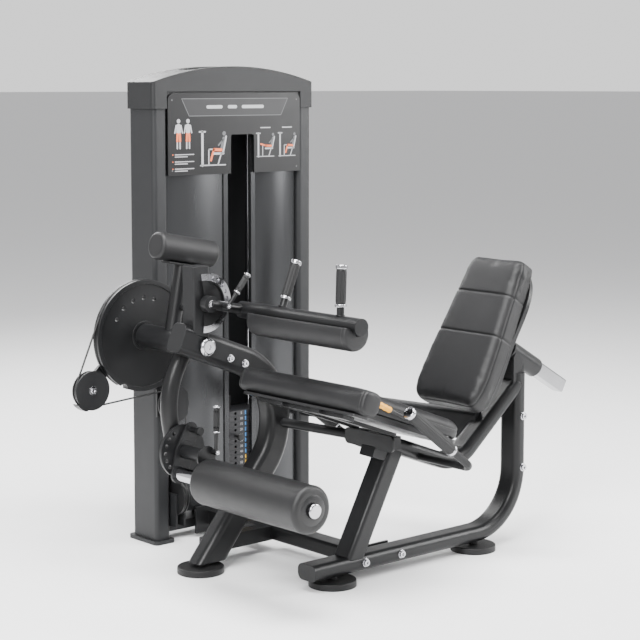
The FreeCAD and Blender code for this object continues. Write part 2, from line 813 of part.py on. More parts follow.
def pivot_cap_shape():
    start = -half_beam - 4
    dome = cylinder(s.cap_rad, s.cap_thick, V(0, start - s.cap_thick, s.pivot_z))
    front_edge = [e for e in dome.Edges if e.Closed and e.BoundBox.YMin < start - 1]
    dome = dome.makeFillet(s.cap_thick * 0.7, front_edge)
    return dome.cut(cylinder(7, 4, V(0, start - s.cap_thick - 1, s.pivot_z)))


main_shaft = cylinder(s.shaft_rad, rear_plate_y + 12 + half_beam + 4, V(0, -half_beam - 4, s.pivot_z))
together("MainShaft", "main_shaft", main_shaft, pivot_cap_shape())
exit_x = s.rise_x - s.exit_rad


def rear_bearing_shape():
    """The plate that carries the shaft's far end, fixed to the tower's near pillar, with the idler's arm."""
    eye = [(0, s.pivot_z, 52), (s.tower_left + 40, s.pivot_z - 20, 60)]
    arm = [(-30, s.pivot_z - 20, 30), (s.idler_x, s.idler_z, 18)]
    plate = upright_plate(hull_outline(eye), 12, rear_plate_y)
    bar = upright_plate(hull_outline(arm), 12, rear_plate_y)
    pad = Part.makeBox(100, s.tower_front - rear_plate_y - 12, 80, V(
        s.tower_left + 6, rear_plate_y + 12, s.pivot_z - 60))
    shape = plate.fuse([bar, pad]).removeSplitter()
    shape = shape.cut(cylinder(pivot_gap, 40, V(0, rear_plate_y - 10, s.pivot_z)))
    return shape.cut(cylinder(8, 40, V(s.idler_x, rear_plate_y - 10, s.idler_z)))


rear_bearing = rear_bearing_shape()


def pulley(name, label, radius, bore, centre, way):
    """A grooved wheel with a running bore, centred on its cable plane."""
    start = centre - way * (s.pulley_thick / 2)
    wheel = Part.makeCylinder(radius + 4, s.pulley_thick, start, way)
    groove = Part.makeTorus(radius + 2.5, s.groove_deep - 1, centre, way)
    wheel = wheel.cut([groove, Part.makeCylinder(bore + s.running_gap, 80, centre - way * 40, way)])
    node(shaped(name, wheel), label)


idler_centre = V(s.idler_x, s.cable_plane, s.idler_z)
exit_centre = V(exit_x, s.cable_plane, s.exit_z)
low_centre = V(s.rise_x, (s.cable_plane + s.tower_front + s.tower_deep / 2 + 7.5) / 2, s.low_pulley_z)
stack_y = 2 * low_centre.y - s.cable_plane
rod_y = stack_y + s.rod_back
low_rad = stack_y - low_centre.y
top_near = V(s.rise_x + s.top_pulley_rad, stack_y, s.top_pulley_z)
top_far = V(s.stack_x - s.top_pulley_rad, stack_y, s.top_pulley_z)
pulley("IdlerPulley", "idler_pulley", s.idler_rad, 8, idler_centre, AXIS_Y)
pulley("ExitPulley", "exit_pulley", s.exit_rad, 8, exit_centre, AXIS_Y)
pulley("LowPulley", "low_pulley", low_rad, 8, low_centre, AXIS_X)
pulley("TopPulleyNear", "top_pulley_near", s.top_pulley_rad, 8, top_near, AXIS_Y)
pulley("TopPulleyFar", "top_pulley_far", s.top_pulley_rad, 8, top_far, AXIS_Y)
half_pulley = s.pulley_thick / 2
idler_length = rear_plate_y + 12 - s.cable_plane + half_pulley + 6
idler_axle = cylinder(8, idler_length, idler_centre - AXIS_Y * (half_pulley + 6))


def idler_guard_shape():
    """The rim guard under the idler, held by the end of its axle."""
    y = s.cable_plane - half_pulley - 6
    web = cylinder(s.idler_rad + 7, 4, idler_centre - AXIS_Y * (half_pulley + 6))
    lip = cylinder(s.idler_rad + 13, s.pulley_thick + 10, V(s.idler_x, y, s.idler_z)).cut(
        cylinder(s.idler_rad + 7, 60, V(s.idler_x, y - 5, s.idler_z)))
    keep = Part.makeBox(40, 100, 22, V(s.idler_x - 58, y - 20, s.idler_z - 62))
    lip = lip.common(keep)
    return web.fuse(lip).removeSplitter().cut(cylinder(8, 60, V(s.idler_x, y - 10, s.idler_z)))


idler_guard = max(idler_guard_shape().Solids, key=lambda part: part.Volume)
together("RearBearing", "rear_bearing_plate", rear_bearing, idler_axle, idler_guard)


def cable_shape():
    """One steel cable: over both top pulleys, under the low pulley, over the exit pulley, round the idler."""
    start = V(s.stack_x, stack_y, s.top_pulley_z)
    over_far = V(top_far.x, stack_y, s.top_pulley_z + s.top_pulley_rad)
    over_near = V(top_near.x, stack_y, s.top_pulley_z + s.top_pulley_rad)
    down = V(s.rise_x, stack_y, s.top_pulley_z)
    down_end = V(s.rise_x, stack_y, s.low_pulley_z)
    up = V(s.rise_x, s.cable_plane, s.low_pulley_z)
    up_end = V(s.rise_x, s.cable_plane, s.exit_z)
    diagonal = math.sqrt(0.5)
    fall = exit_centre - idler_centre
    span = fall.Length
    # the run between the exit pulley's top and the idler's underside crosses the line of centres
    cross = math.acos((s.exit_rad + s.idler_rad) / span)
    heading = math.atan2(-fall.z, -fall.x)
    leave_angle = heading - cross
    off_exit = V(math.cos(leave_angle), 0, math.sin(leave_angle))
    run_start = exit_centre + off_exit * s.exit_rad
    run_end = idler_centre - off_exit * s.idler_rad
    exit_middle_angle = leave_angle / 2
    exit_middle = exit_centre + V(math.cos(exit_middle_angle), 0, math.sin(exit_middle_angle)) * s.exit_rad
    # the return run goes from the idler's far side to the cam's rim
    cam_centre = V(0, s.cable_plane, s.pivot_z)
    to_cam = cam_centre - idler_centre
    rim = s.cam_rad + 3 - s.groove_deep + s.cable_rad + 0.5
    cross_cam = math.acos((s.idler_rad - rim) / to_cam.Length)
    cam_heading = math.atan2(to_cam.z, to_cam.x)
    side = cam_heading + cross_cam
    off_idler = V(math.cos(side), 0, math.sin(side))
    back_start = idler_centre + off_idler * s.idler_rad
    back_end = cam_centre + off_idler * rim
    wrap_from = math.atan2(-off_exit.z, -off_exit.x) % (2 * math.pi)
    wrap_to = side % (2 * math.pi)
    if wrap_to > wrap_from:
        wrap_from += 2 * math.pi
    wrap_mid = (wrap_from + wrap_to) / 2
    idler_middle = idler_centre + V(math.cos(wrap_mid), 0, math.sin(wrap_mid)) * s.idler_rad
    edges = [
        Part.Arc(start, top_far + V(diagonal, 0, diagonal) * s.top_pulley_rad, over_far).toShape(),
        Part.LineSegment(over_far, over_near).toShape(),
        Part.Arc(over_near, top_near + V(-diagonal, 0, diagonal) * s.top_pulley_rad, down).toShape(),
        Part.LineSegment(down, down_end).toShape(),
        Part.Arc(down_end, low_centre - AXIS_Z * low_rad, up).toShape(),
        Part.LineSegment(up, up_end).toShape(),
        Part.Arc(up_end, exit_middle, run_start).toShape(),
        Part.LineSegment(run_start, run_end).toShape(),
        Part.Arc(run_end, idler_middle, back_start).toShape(),
        Part.LineSegment(back_start, back_end).toShape(),
    ]
    section = Part.Wire(Part.makeCircle(s.cable_rad, start, AXIS_Z))
    path = Part.Wire(edges)
    print("cable length", round(path.Length), "mm")
    return path.makePipeShell([section], True, False)


node(shaped("Cable", cable_shape()), "drive_cable")

# ---------------------------------------------------------------- tower

tower_back = s.tower_front + s.tower_deep
tower_mid = (s.tower_left + s.tower_right) / 2


def pillar(name, label, left):
    """An upright with rounded edges and a flanged foot."""
    post = doc.addObject("PartDesign::Body", name)
    sketch = post.newObject("Sketcher::SketchObject", name + "Sketch")
    plane = [f for f in post.Origin.OriginFeatures if f.Role == "XY_Plane"][0]
    sketch.AttachmentSupport = [(plane, "")]
    sketch.MapMode = "FlatFace"
    corners = [V(0, 0, 0), V(s.pillar_wide, 0, 0), V(s.pillar_wide, s.tower_deep, 0), V(0, s.tower_deep, 0)]
    lines = [Part.LineSegment(a, b) for a, b in zip(corners, corners[1:] + corners[:1])]
    sketch.addGeometry(lines, False)
    for here in range(4):
        sketch.addConstraint(Sketcher.Constraint("Coincident", here, 2, (here + 1) % 4, 1))
    for here, kind in enumerate(("Horizontal", "Vertical", "Horizontal", "Vertical")):
        sketch.addConstraint(Sketcher.Constraint(kind, here))
    sketch.addConstraint(Sketcher.Constraint("Coincident", 0, 1, -1, 1))
    wide = sketch.addConstraint(Sketcher.Constraint("DistanceX", 0, 1, 0, 2, s.pillar_wide))
    deep = sketch.addConstraint(Sketcher.Constraint("DistanceY", 1, 1, 1, 2, s.tower_deep))
    sketch.setExpression("Constraints[%d]" % wide, formula("pillar_wide"))
    sketch.setExpression("Constraints[%d]" % deep, formula("tower_deep"))
    pad = post.newObject("PartDesign::Pad", name + "Pad")
    pad.Profile = sketch
    bind(pad, Length="cover_low - base_flange")
    doc.recompute()
    uprights = ["Edge%d" % (n + 1) for n, e in enumerate(pad.Shape.Edges) if e.BoundBox.ZLength > 100]
    fillet = post.newObject("PartDesign::Fillet", name + "Fillet")
    fillet.Base = (pad, uprights)
    fillet.Radius = 14
    post.Tip = fillet
    place(post, (left, "tower_front", "base_flange"), ALONG_Z)
    return node(post, label)


pillar("NearPillar", "near_pillar", "tower_left")
pillar("FarPillar", "far_pillar", "tower_right - pillar_wide")


def tower_feet_shape():
    feet = []
    for left in (s.tower_left, s.tower_right - s.pillar_wide):
        outline = rounded_outline(s.pillar_wide + 24, s.tower_deep + 24, 16)
        middle = V(left + s.pillar_wide / 2, s.tower_front + s.tower_deep / 2, 0)
        feet.append(slab(outline, s.base_flange, middle))
    return Part.makeCompound(feet)


inner_left = s.tower_left + s.pillar_wide
inner_right = s.tower_right - s.pillar_wide
inner_wide = inner_right - inner_left
cross_high = 60


def tower_base_shape():
    """The bottom cross member that carries the stack, the guide rods and the low pulley's lugs."""
    base = Part.makeBox(inner_wide, s.tower_deep - 40, cross_high - 30, V(inner_left, s.tower_front + 20, 30))
    lugs = []
    for side in (-1, 1):
        x = s.rise_x + side * (half_pulley + 5) - 4
        lug = Part.makeBox(8, 60, s.low_pulley_z - 40, V(x, low_centre.y - 30, 50))
        lugs.append(lug)
    shape = base.fuse(lugs).removeSplitter()
    wheel = cylinder(low_rad + 12, s.pulley_thick + 2, V(
        s.rise_x - half_pulley - 1, low_centre.y, s.low_pulley_z), AXIS_X)
    shape = shape.cut(wheel)
    shape = shape.cut(cylinder(8, 80, V(s.rise_x - 40, low_centre.y, s.low_pulley_z), AXIS_X))
    for side in (-1, 1):
        x = s.stack_x + side * s.rod_spread
        shape = shape.cut(Part.makeCylinder(s.rod_rad, 40, V(x, rod_y, cross_high - 20)))
    return shape


low_axle_start = V(s.rise_x - half_pulley - 9, low_centre.y, s.low_pulley_z)
low_axle = cylinder(8, s.pulley_thick + 18, low_axle_start, AXIS_X)
together("TowerBase", "tower_base", tower_base_shape(), tower_feet_shape(), low_axle)
head_low = s.top_pulley_z + s.top_pulley_rad + 14


def tower_head_shape():
    """The top cross member with the lugs of both top pulleys."""
    head = Part.makeBox(inner_wide, s.tower_deep - 30, 26, V(inner_left, s.tower_front + 15, head_low))
    lugs = []
    for centre in (top_near, top_far):
        for side in (-1, 1):
            y = stack_y + side * (half_pulley + 5) - 3
            lugs.append(Part.makeBox(36, 6, head_low - centre.z + 22, V(centre.x - 18, y, centre.z - 22)))
    shape = head.fuse(lugs).removeSplitter()
    for centre in (top_near, top_far):
        shape = shape.cut(cylinder(8, 80, centre - AXIS_Y * 40))
    for side in (-1, 1):
        x = s.stack_x + side * s.rod_spread
        shape = shape.cut(Part.makeCylinder(s.rod_rad, 20, V(x, rod_y, head_low - 1)))
    return shape


axle_long = s.pulley_thick + 16
top_axles = [cylinder(8, axle_long, centre - AXIS_Y * (axle_long / 2)) for centre in (top_near, top_far)]
together("TowerHead", "tower_head", tower_head_shape(), *top_axles)
exit_axle_long = s.tower_front - s.cable_plane + half_pulley + 6
exit_axle = cylinder(8, exit_axle_long - 8, exit_centre - AXIS_Y * (half_pulley + 6))


def exit_cover_shape():
    """The plate in front of the exit pulley and its mount on the near pillar."""
    y = s.cable_plane - half_pulley - 6
    plate = cylinder(s.exit_rad + 8, 4, V(exit_x, y, s.exit_z))
    trim = Part.makeBox(40, 20, 160, V(exit_x + s.exit_rad - 4, y - 8, s.exit_z - 80))
    plate = plate.cut([trim, cylinder(8, 20, V(exit_x, y - 5, s.exit_z))])
    return plate


def exit_mount_shape():
    back = Part.makeBox(70, 8, 90, V(exit_x - 35, s.tower_front - 8, s.exit_z - 45))
    nose = cylinder(14, s.tower_front - s.cable_plane - half_pulley - 2, V(
        exit_x, s.cable_plane + half_pulley + 2, s.exit_z))
    shape = back.fuse(nose).removeSplitter()
    return shape.cut(cylinder(8, exit_axle_long - 8, exit_centre - AXIS_Y * (half_pulley + 6)))


together("ExitBracket", "exit_bracket", exit_cover_shape(), exit_mount_shape(), exit_axle)


def guide_rods_shape():
    start = cross_high - 20
    rods_made = []
    for side in (-1, 1):
        foot = V(s.stack_x + side * s.rod_spread, rod_y, start)
        rods_made.append(Part.makeCylinder(s.rod_rad, head_low + 19 - start, foot))
    return Part.makeCompound(rods_made)


def bulged_sheet(left, right, low, high):
    """A thin sheet whose middle stands forward of its two edges."""
    y = s.tower_front + 16
    a, b = V(left, y, low), V(right, y, low)
    crown = V((left + right) / 2, y - s.shroud_bulge, low)
    inside = V(0, s.shroud_wall, 0)
    front = Part.Arc(a, crown, b).toShape()
    back = Part.Arc(a + inside, crown + inside, b + inside).toShape()
    ends = [Part.LineSegment(a, a + inside).toShape(), Part.LineSegment(b, b + inside).toShape()]
    face = Part.Face(Part.Wire([front, ends[1], back, ends[0]]))
    return face.extrude(V(0, 0, high - low))


def window_edge(x, side):
    """The folded edge of a shroud beside the stack's window."""
    fold = Part.makeBox(18, 12, s.cover_low - s.shroud_low - 4, V(
        x if side < 0 else x - 18, s.tower_front + 12, s.shroud_low + 2))
    return fold


def near_shroud_shape():
    sheet_made = bulged_sheet(inner_left + 1, s.window_left - 18, s.shroud_low, s.cover_low)
    fold = window_edge(s.window_left, 1)
    shape = sheet_made.fuse(fold).removeSplitter()
    gap = half_pulley + 16
    slot_high = s.low_pulley_z + low_rad + 30 - s.shroud_low
    slot = Part.makeBox(2 * gap, 80, slot_high + 10, V(s.rise_x - gap, s.tower_front - 20, s.shroud_low - 10))
    return shape.cut(slot)


def far_shroud_shape():
    sheet_made = bulged_sheet(s.window_right + 18, inner_right - 1, s.shroud_low, s.cover_low)
    return sheet_made.fuse(window_edge(s.window_right, -1)).removeSplitter()


together("Shrouds", "front_shrouds", near_shroud_shape(), far_shroud_shape())
node(box(
    "RearPanel",
    ("tower_right - tower_left - 2*pillar_wide - 2", 3, "cover_low - shroud_low"),
    ("tower_left + pillar_wide + 1", "tower_front + tower_deep - 12", "shroud_low"),
), "rear_panel")


def placard_shape():
    """The instruction panel: round top corners and a notch over the stack's window."""
    low, high = s.placard_low, s.placard_high + 72
    panel = Part.makeBox(inner_wide + 6, s.placard_thick, high - low, V(
        inner_left - 3, s.tower_front - s.placard_thick - 1, low))
    across = [e for e in panel.Edges if e.BoundBox.YLength > 1 and e.BoundBox.XLength < 1]
    panel = panel.makeFillet(s.placard_round, [e for e in across if e.BoundBox.ZMin > high - 5])
    notch = Part.makeBox(s.window_right - s.window_left, 40, s.notch_high - low + 50, V(
        s.window_left, s.tower_front - 20, low - 50))
    return panel.cut(notch.makeFillet(8, [e for e in notch.Edges if e.BoundBox.YLength > 30]))


node(shaped("Placard", placard_shape()), "placard")


def top_cover_shape():
    """The moulded cap: arched along its length, with a shallow scoop behind the front edge."""
    left, right = s.tower_left - s.cover_lip, s.tower_right + s.cover_lip
    front, back = s.tower_front - s.cover_lip, tower_back + s.cover_lip
    a, b = V(left, front, s.cover_low), V(right, front, s.cover_low)
    c, d = V(right, front, s.cover_side), V(left, front, s.cover_side)
    crown = V(tower_mid, front, s.cover_top)
    wire = Part.Wire([
        Part.LineSegment(a, b).toShape(),
        Part.LineSegment(b, c).toShape(),
        Part.Arc(c, crown, d).toShape(),
        Part.LineSegment(d, a).toShape(),
    ])
    cap = Part.Face(wire).extrude(V(0, back - front, 0))
    cap = cap.makeFillet(12, [e for e in cap.Edges if e.BoundBox.ZLength > 60 and e.BoundBox.XLength < 1])
    scoop = Part.makeBox(330, 84, 80, V(tower_mid - 165, front + 24, s.cover_top - 42))
    scoop = scoop.makeFillet(20, [e for e in scoop.Edges if e.BoundBox.ZLength > 70])
    hollow = Part.makeBox(right - left - 30, back - front - 30, s.cover_side - s.cover_low - 14, V(
        left + 15, front + 15, s.cover_low - 1))
    return cap.cut([scoop, hollow])


cover = top_cover_shape()
node(shaped("TopCover", cover.cut(Part.makeBox(
    inner_wide + 12, s.cover_lip + 0.5, s.placard_high + 78 - s.cover_low,
    V(inner_left - 6, s.tower_front - s.cover_lip - 0.2, s.cover_low - 1)))), "top_cover")

# ---------------------------------------------------------------- weight stack


def plate_block(first, count, name, label):
    """Stack plates, each drilled for the stem, the guide rods and the pin."""
    plates = []
    for index in range(first, first + count):
        top = s.stack_floor + (s.plate_total - index) * s.plate_pitch
        z = top - s.plate_thick
        plate = Part.makeBox(s.plate_wide, s.plate_deep, s.plate_thick, V(
            s.stack_x - s.plate_wide / 2, stack_y - s.plate_deep / 2, z))
        holes = [Part.makeCylinder(s.stem_rad + 1, 40, V(s.stack_x, stack_y, z - 10))]
        for side in (-1, 1):
            rod_at = V(s.stack_x + side * s.rod_spread, rod_y, z - 10)
            holes.append(Part.makeCylinder(s.rod_rad + 1.5, 40, rod_at))
        holes.append(cylinder(s.pin_rad + 0.6, s.plate_deep / 2, V(
            s.stack_x, stack_y - s.plate_deep / 2 - 1, z + s.plate_thick / 2)))
        plates.append(plate.cut(holes))
    return node(shaped(name, Part.makeCompound(plates)), label)


plate_block(0, int(s.plates_up), "LiftedPlates", "lifted_plates")
plate_block(int(s.plates_up), int(s.plate_total - s.plates_up), "RestingPlates", "resting_plates")
stack_top = s.stack_floor + s.plate_total * s.plate_pitch
pin_z = stack_top - (s.plates_up - 1) * s.plate_pitch - s.plate_thick / 2


def stem_shape():
    """The stem through the plates, its rubber boot and the cable's end fitting."""
    stem_foot = V(s.stack_x, stack_y, s.stack_floor + 8)
    stem = Part.makeCylinder(s.stem_rad, stack_top - s.stack_floor - 8, stem_foot)
    hole = cylinder(s.pin_rad + 0.6, 60, V(s.stack_x, stack_y - 59 + s.stem_rad - 2, pin_z))
    return stem.cut(hole)


stem_boot = Part.makeCylinder(s.boot_rad, s.boot_high, V(s.stack_x, stack_y, stack_top))
together("Stem", "selector_stem", stem_shape(), stem_boot)
cable_foot = stack_top + s.boot_high
node(shaped("LiftCable", Part.makeCylinder(
    s.cable_rad, s.top_pulley_z - cable_foot, V(s.stack_x, stack_y, cable_foot))), "lift_cable")
pads_made = []
for side in (-1, 1):
    centre_x = s.stack_x + side * s.rod_spread
    outer = Part.makeCylinder(22, s.stack_floor - cross_high, V(centre_x, rod_y, cross_high))
    pads_made.append(outer.cut(Part.makeCylinder(s.rod_rad, 60, V(centre_x, rod_y, cross_high - 5))))
together("GuideRods", "guide_rods", guide_rods_shape(), *pads_made)
pin_start = V(s.stack_x, s.tower_front + 4, pin_z)
pin_inside = stack_y + 6 - s.tower_front - 4


def pin_shape():
    """The selector pin with its round pull knob in the stack's window."""
    shank = cylinder(s.pin_rad, pin_inside, pin_start)
    knob = cylinder(13, 10, pin_start - AXIS_Y * 10)
    knob = knob.makeFillet(4, [e for e in knob.Edges if e.Closed])
    return shank.fuse(knob).removeSplitter()


node(shaped("SelectorPin", pin_shape()), "selector_pin")

# ---------------------------------------------------------------- ankle roll and its bracket

cheek_y = disc_y - 4 - s.cheek_thick
cheek_low_y = -92
top_rod = V(s.ankle_x + 24, 0, s.ankle_z + 66)


def cheek(name, label, circles, y):
    shape = upright_plate(hull_outline(circles), s.cheek_thick, y)
    for x, z, radius in ((s.roll_x, s.roll_z, s.axle_rad), (top_rod.x, top_rod.z, 9)):
        shape = shape.cut(cylinder(radius, 40, V(x, y - 10, z)))
    return shape


roll_cheek = cheek("RollCheek", "roll_cheek", [
    (s.roll_x, s.roll_z, 30), (s.ankle_x, s.ankle_z, 34), (top_rod.x, top_rod.z, 22)], cheek_y)
roll_cheek = roll_cheek.cut(cylinder(s.spindle_rad, 40, V(s.ankle_x, cheek_y - 10, s.ankle_z)))


def roll_spindle_shape():
    """The bracket's pin: it turns in the arm's boss and carries the bracket's hub."""
    end = s.arm_plane + s.arm_tube_rad + 6
    pin = cylinder(s.spindle_rad, end - cheek_y, V(s.ankle_x, cheek_y, s.ankle_z))
    head = cylinder(s.spindle_rad + 7, 5, V(s.ankle_x, end, s.ankle_z))
    hub = cylinder(s.hub_rad + 4, cheek_y - cheek_low_y, V(s.ankle_x, cheek_low_y, s.ankle_z))
    return pin.fuse([head, hub]).removeSplitter()


end_disc = cylinder(34, 6, V(s.ankle_x, cheek_low_y - 6, s.ankle_z))
together("RollSpindle", "roll_spindle", roll_spindle_shape(), end_disc)
top_rod_start = V(top_rod.x, cheek_y - 34, top_rod.z)
peg_rod = cylinder(9, 34 + s.cheek_thick, top_rod_start)
knob_end = cylinder(s.knob_rad, 16, top_rod_start - AXIS_Y * 16)
knob_end = knob_end.makeFillet(4, [e for e in knob_end.Edges if e.Closed])
together("RollCheek", "roll_cheek", roll_cheek, peg_rod, knob_end)
roll_far = s.roll_near - s.roll_long
axle_far = roll_far - 6
roll_axle = cylinder(s.axle_rad, cheek_y + s.cheek_thick - axle_far, V(s.roll_x, axle_far, s.roll_z))
stub = cylinder(s.core_rad - 2, cheek_y - s.roll_near - 3, V(s.roll_x, s.roll_near + 3, s.roll_z))
roll_cap = cylinder(22, 8, V(s.roll_x, axle_far - 8, s.roll_z))
roll_cap = roll_cap.makeFillet(5, [e for e in roll_cap.Edges if e.Closed and e.BoundBox.YMin < axle_far - 7])
together("RollAxle", "roll_axle", roll_axle, stub.cut(roll_axle), roll_cap)


def ankle_roll_shape():
    roll = cylinder(s.roll_rad, s.roll_long, V(s.roll_x, roll_far, s.roll_z))
    roll = roll.makeFillet(9, [e for e in roll.Edges if e.Closed and e.BoundBox.YLength < 1])
    return roll.cut(cylinder(s.core_rad, s.roll_long + 20, V(s.roll_x, roll_far - 10, s.roll_z)))


node(shaped("AnkleRoll", ankle_roll_shape()), "ankle_roll")
core = cylinder(s.core_rad, s.roll_long, V(s.roll_x, roll_far, s.roll_z))
core = core.cut(cylinder(s.axle_rad + s.running_gap, s.roll_long + 20, V(s.roll_x, roll_far - 10, s.roll_z)))
node(shaped("RollCore", core), "roll_core")

# ---------------------------------------------------------------- thigh pad arm

hub_front = s.thigh_near - 18


def thigh_arm_shape():
    """The hub that turns in the post, the short arm and the long tube under the handles."""
    hub = cylinder(s.hub_rad, half_beam - 10 - hub_front, V(s.thigh_x, hub_front, s.thigh_z))
    eye = cylinder(s.hub_rad + 8, 26, V(s.thigh_x, hub_front, s.thigh_z))
    y = s.thigh_near - 10
    root = V(s.thigh_x, y, s.thigh_z)
    tip = V(s.thigh_arm_x, y, s.thigh_arm_z)
    arm = Part.makeCylinder(15, (tip - root).Length, root, tip - root)
    bar = cylinder(s.thigh_tube_rad, s.thigh_near + 8 - s.thigh_far, V(
        s.thigh_arm_x, s.thigh_far, s.thigh_arm_z))
    return hub.fuse([eye, arm, bar]).removeSplitter()


thigh_arm = thigh_arm_shape()


def thigh_pad_shape():
    """A deep half-round pad slung under the tube."""
    length = s.thigh_pad_near - s.thigh_pad_far
    z = s.thigh_arm_z - s.thigh_drop
    pad = cylinder(s.thigh_pad_rad, length, V(s.thigh_arm_x - 4, s.thigh_pad_far, z))
    top = Part.makeBox(300, length + 20, 200, V(s.thigh_arm_x - 150, s.thigh_pad_far - 10, s.thigh_arm_z + 4))
    bed = cylinder(s.thigh_tube_rad + 0.2, length + 20, V(s.thigh_arm_x, s.thigh_pad_far - 10, s.thigh_arm_z))
    return pad.cut([top, bed])


node(shaped("ThighPad", thigh_pad_shape()), "thigh_pad")


def thigh_handle(y, tilt):
    """A stem with a lower collar, a ribbed grip and an end cap."""
    way = V(math.sin(math.radians(tilt)), 0, math.cos(math.radians(tilt)))
    foot = V(s.thigh_arm_x, y, s.thigh_arm_z) + way * (s.thigh_tube_rad - 2)
    stem = Part.makeCylinder(11, 26, foot, way).cut(thigh_arm)
    collar = Part.makeCylinder(17, 10, foot + way * 26, way)
    grip = Part.makeCylinder(s.grip_rad, 100, foot + way * 36, way)
    cap = Part.makeCylinder(17, 14, foot + way * 136, way)
    return max(stem.Solids, key=lambda part: part.Volume), collar, grip, cap


handle_sets = [thigh_handle(-232, 22), thigh_handle(-500, 2)]
together("ThighArm", "thigh_arm", thigh_arm, *[h[0] for h in handle_sets])
together("ThighGrips", "thigh_handle_grips", *[piece for h in handle_sets for piece in h[1:]])

# ---------------------------------------------------------------- small levers


def lever(name, label, pivot, way, reach, grip_long, across, hub_long):
    """A hub along Y, a thin stem and a capped grip, as one hand lever."""
    hub = cylinder(9, hub_long, pivot - AXIS_Y * hub_long)
    start = pivot - AXIS_Y * (hub_long - 7) + way * across
    stem = Part.makeCylinder(6, reach, start - way * across, way)
    grip = Part.makeCylinder(9.5, grip_long, start + way * (reach - across), way)
    shape = hub.fuse([stem, grip]).removeSplitter()
    cap = Part.makeCylinder(10.5, 8, start + way * (reach - across + grip_long), way)
    collar = Part.makeCylinder(10.5, 6, start + way * (reach - across - 6), way).cut(stem)
    together(name, label, shape, cap, collar)


def tilted(degrees):
    turn = math.radians(degrees)
    return V(math.sin(turn), 0, math.cos(turn))


start_pivot = V(0, s.post_plane - s.post_rad - 1, s.pivot_z) + weight_way * 105 + weight_flat * 6
lever("StartLever", "start_lever", start_pivot, tilted(14), 62, 66, 0, 26)
roll_pivot = V(s.ankle_x + 24, cheek_low_y - 6.5, s.ankle_z + 14)
lever("RollLever", "roll_lever", roll_pivot, tilted(1), 66, 70, 0, 22)
thigh_pivot = V(s.thigh_x + 42, s.thigh_near - 26, s.thigh_z - 8)
lever("ThighLever", "thigh_lever", thigh_pivot, tilted(40), 56, 58, 0, 24)

# ---------------------------------------------------------------- backrest release lever

release_y = s.seat_y - s.seat_wide / 2 - 17
release_pivot = V(472, release_y, 443)
release_way = V(-math.cos(math.radians(27)), 0, math.sin(math.radians(27)))


def release_rod_shape():
    eye = cylinder(11, 10, release_pivot - AXIS_Y * 5)
    bar = Part.makeCylinder(5, 258, release_pivot, release_way)
    shape = eye.fuse(bar).removeSplitter()
    return shape.cut(cylinder(5 + s.running_gap, 40, release_pivot - AXIS_Y * 20))


grip_start = release_pivot + release_way * 258
release_grip = Part.makeCylinder(10, 88, grip_start, release_way)
release_grip = release_grip.makeFillet(5, [e for e in release_grip.Edges if e.Closed])
together("ReleaseLever", "release_lever", release_rod_shape(), release_grip)
pin_long = 17 + 8
release_pin = cylinder(5, pin_long + 6, release_pivot - AXIS_Y * 6)

# ---------------------------------------------------------------- fasteners


def bolt(at, way, head=10, deep=7):
    """A socket-head cap with a washer, seated on a face."""
    washer = Part.makeCylinder(head + 3, 2, at, way)
    body = Part.makeCylinder(head, deep, at + way * 2, way)
    socket = Part.makeCylinder(head * 0.45, 4, at + way * (deep - 1.5), way)
    return washer.fuse(body).removeSplitter().cut(socket)


outward = AXIS_Y * -1
bolts = []
for x in (s.link_low_x - 40, s.link_low_x + 110):
    bolts.append(bolt(V(x, s.seat_y - s.rail_width / 2, s.base_z + 2), outward))
for x, z in ((93, 662), (150, 640)):
    bolts.append(bolt(V(x, -half_beam, z), outward, 9, 7))
for z in (250, 420):
    bolts.append(bolt(V(s.rear_x + 6, s.seat_y - s.rail_width / 2, z), outward))
together("FrameBolts", "frame_bolts", release_pin.cut(seat_board), *bolts)

# ---------------------------------------------------------------- checks and export

doc.recompute()
os.makedirs("parts", exist_ok=True)
for item in doc.Objects:
    if "Invalid" in item.State or "Error" in item.State:
        raise RuntimeError("%s did not build: %s" % (item.Name, item.State))
for item in NODES:
    if item.Shape.isNull() or not item.Shape.isValid() or not item.Shape.Solids:
        raise RuntimeError("%s has no valid solid" % item.Label)
for item in NODES:
    item.Shape.exportStep("parts/%s.step" % item.Label)
print(len(NODES), "nodes written")
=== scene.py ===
"""The looks of the leg extension machine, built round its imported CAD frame. Metres, Z up."""

import json
import math

import bmesh
import bpy
from mathutils import Matrix, Vector
from mathutils.bvhtree import BVHTree


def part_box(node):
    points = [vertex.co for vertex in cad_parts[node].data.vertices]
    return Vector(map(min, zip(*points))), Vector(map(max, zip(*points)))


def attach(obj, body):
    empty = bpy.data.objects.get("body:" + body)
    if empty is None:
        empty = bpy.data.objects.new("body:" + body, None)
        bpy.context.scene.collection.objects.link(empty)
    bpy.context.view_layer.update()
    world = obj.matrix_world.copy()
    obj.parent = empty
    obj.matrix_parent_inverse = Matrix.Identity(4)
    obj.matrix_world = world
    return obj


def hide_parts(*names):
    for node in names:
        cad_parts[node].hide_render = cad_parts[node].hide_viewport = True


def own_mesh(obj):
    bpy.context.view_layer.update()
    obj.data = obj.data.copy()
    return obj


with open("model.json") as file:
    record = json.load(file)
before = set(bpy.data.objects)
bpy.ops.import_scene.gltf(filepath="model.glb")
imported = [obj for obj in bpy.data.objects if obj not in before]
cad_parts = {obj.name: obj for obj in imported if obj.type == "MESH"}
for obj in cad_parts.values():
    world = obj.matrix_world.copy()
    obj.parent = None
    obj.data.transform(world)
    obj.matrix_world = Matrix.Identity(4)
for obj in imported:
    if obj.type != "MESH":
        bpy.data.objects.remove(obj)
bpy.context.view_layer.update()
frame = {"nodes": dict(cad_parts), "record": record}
NODES = frame["nodes"]
SCENE = bpy.context.scene

# ---------------------------------------------------------------- materials


def shade(colour, amount):
    """The colour made lighter or darker, with full alpha."""
    return tuple(min(1, c * amount) for c in colour) + (1,)


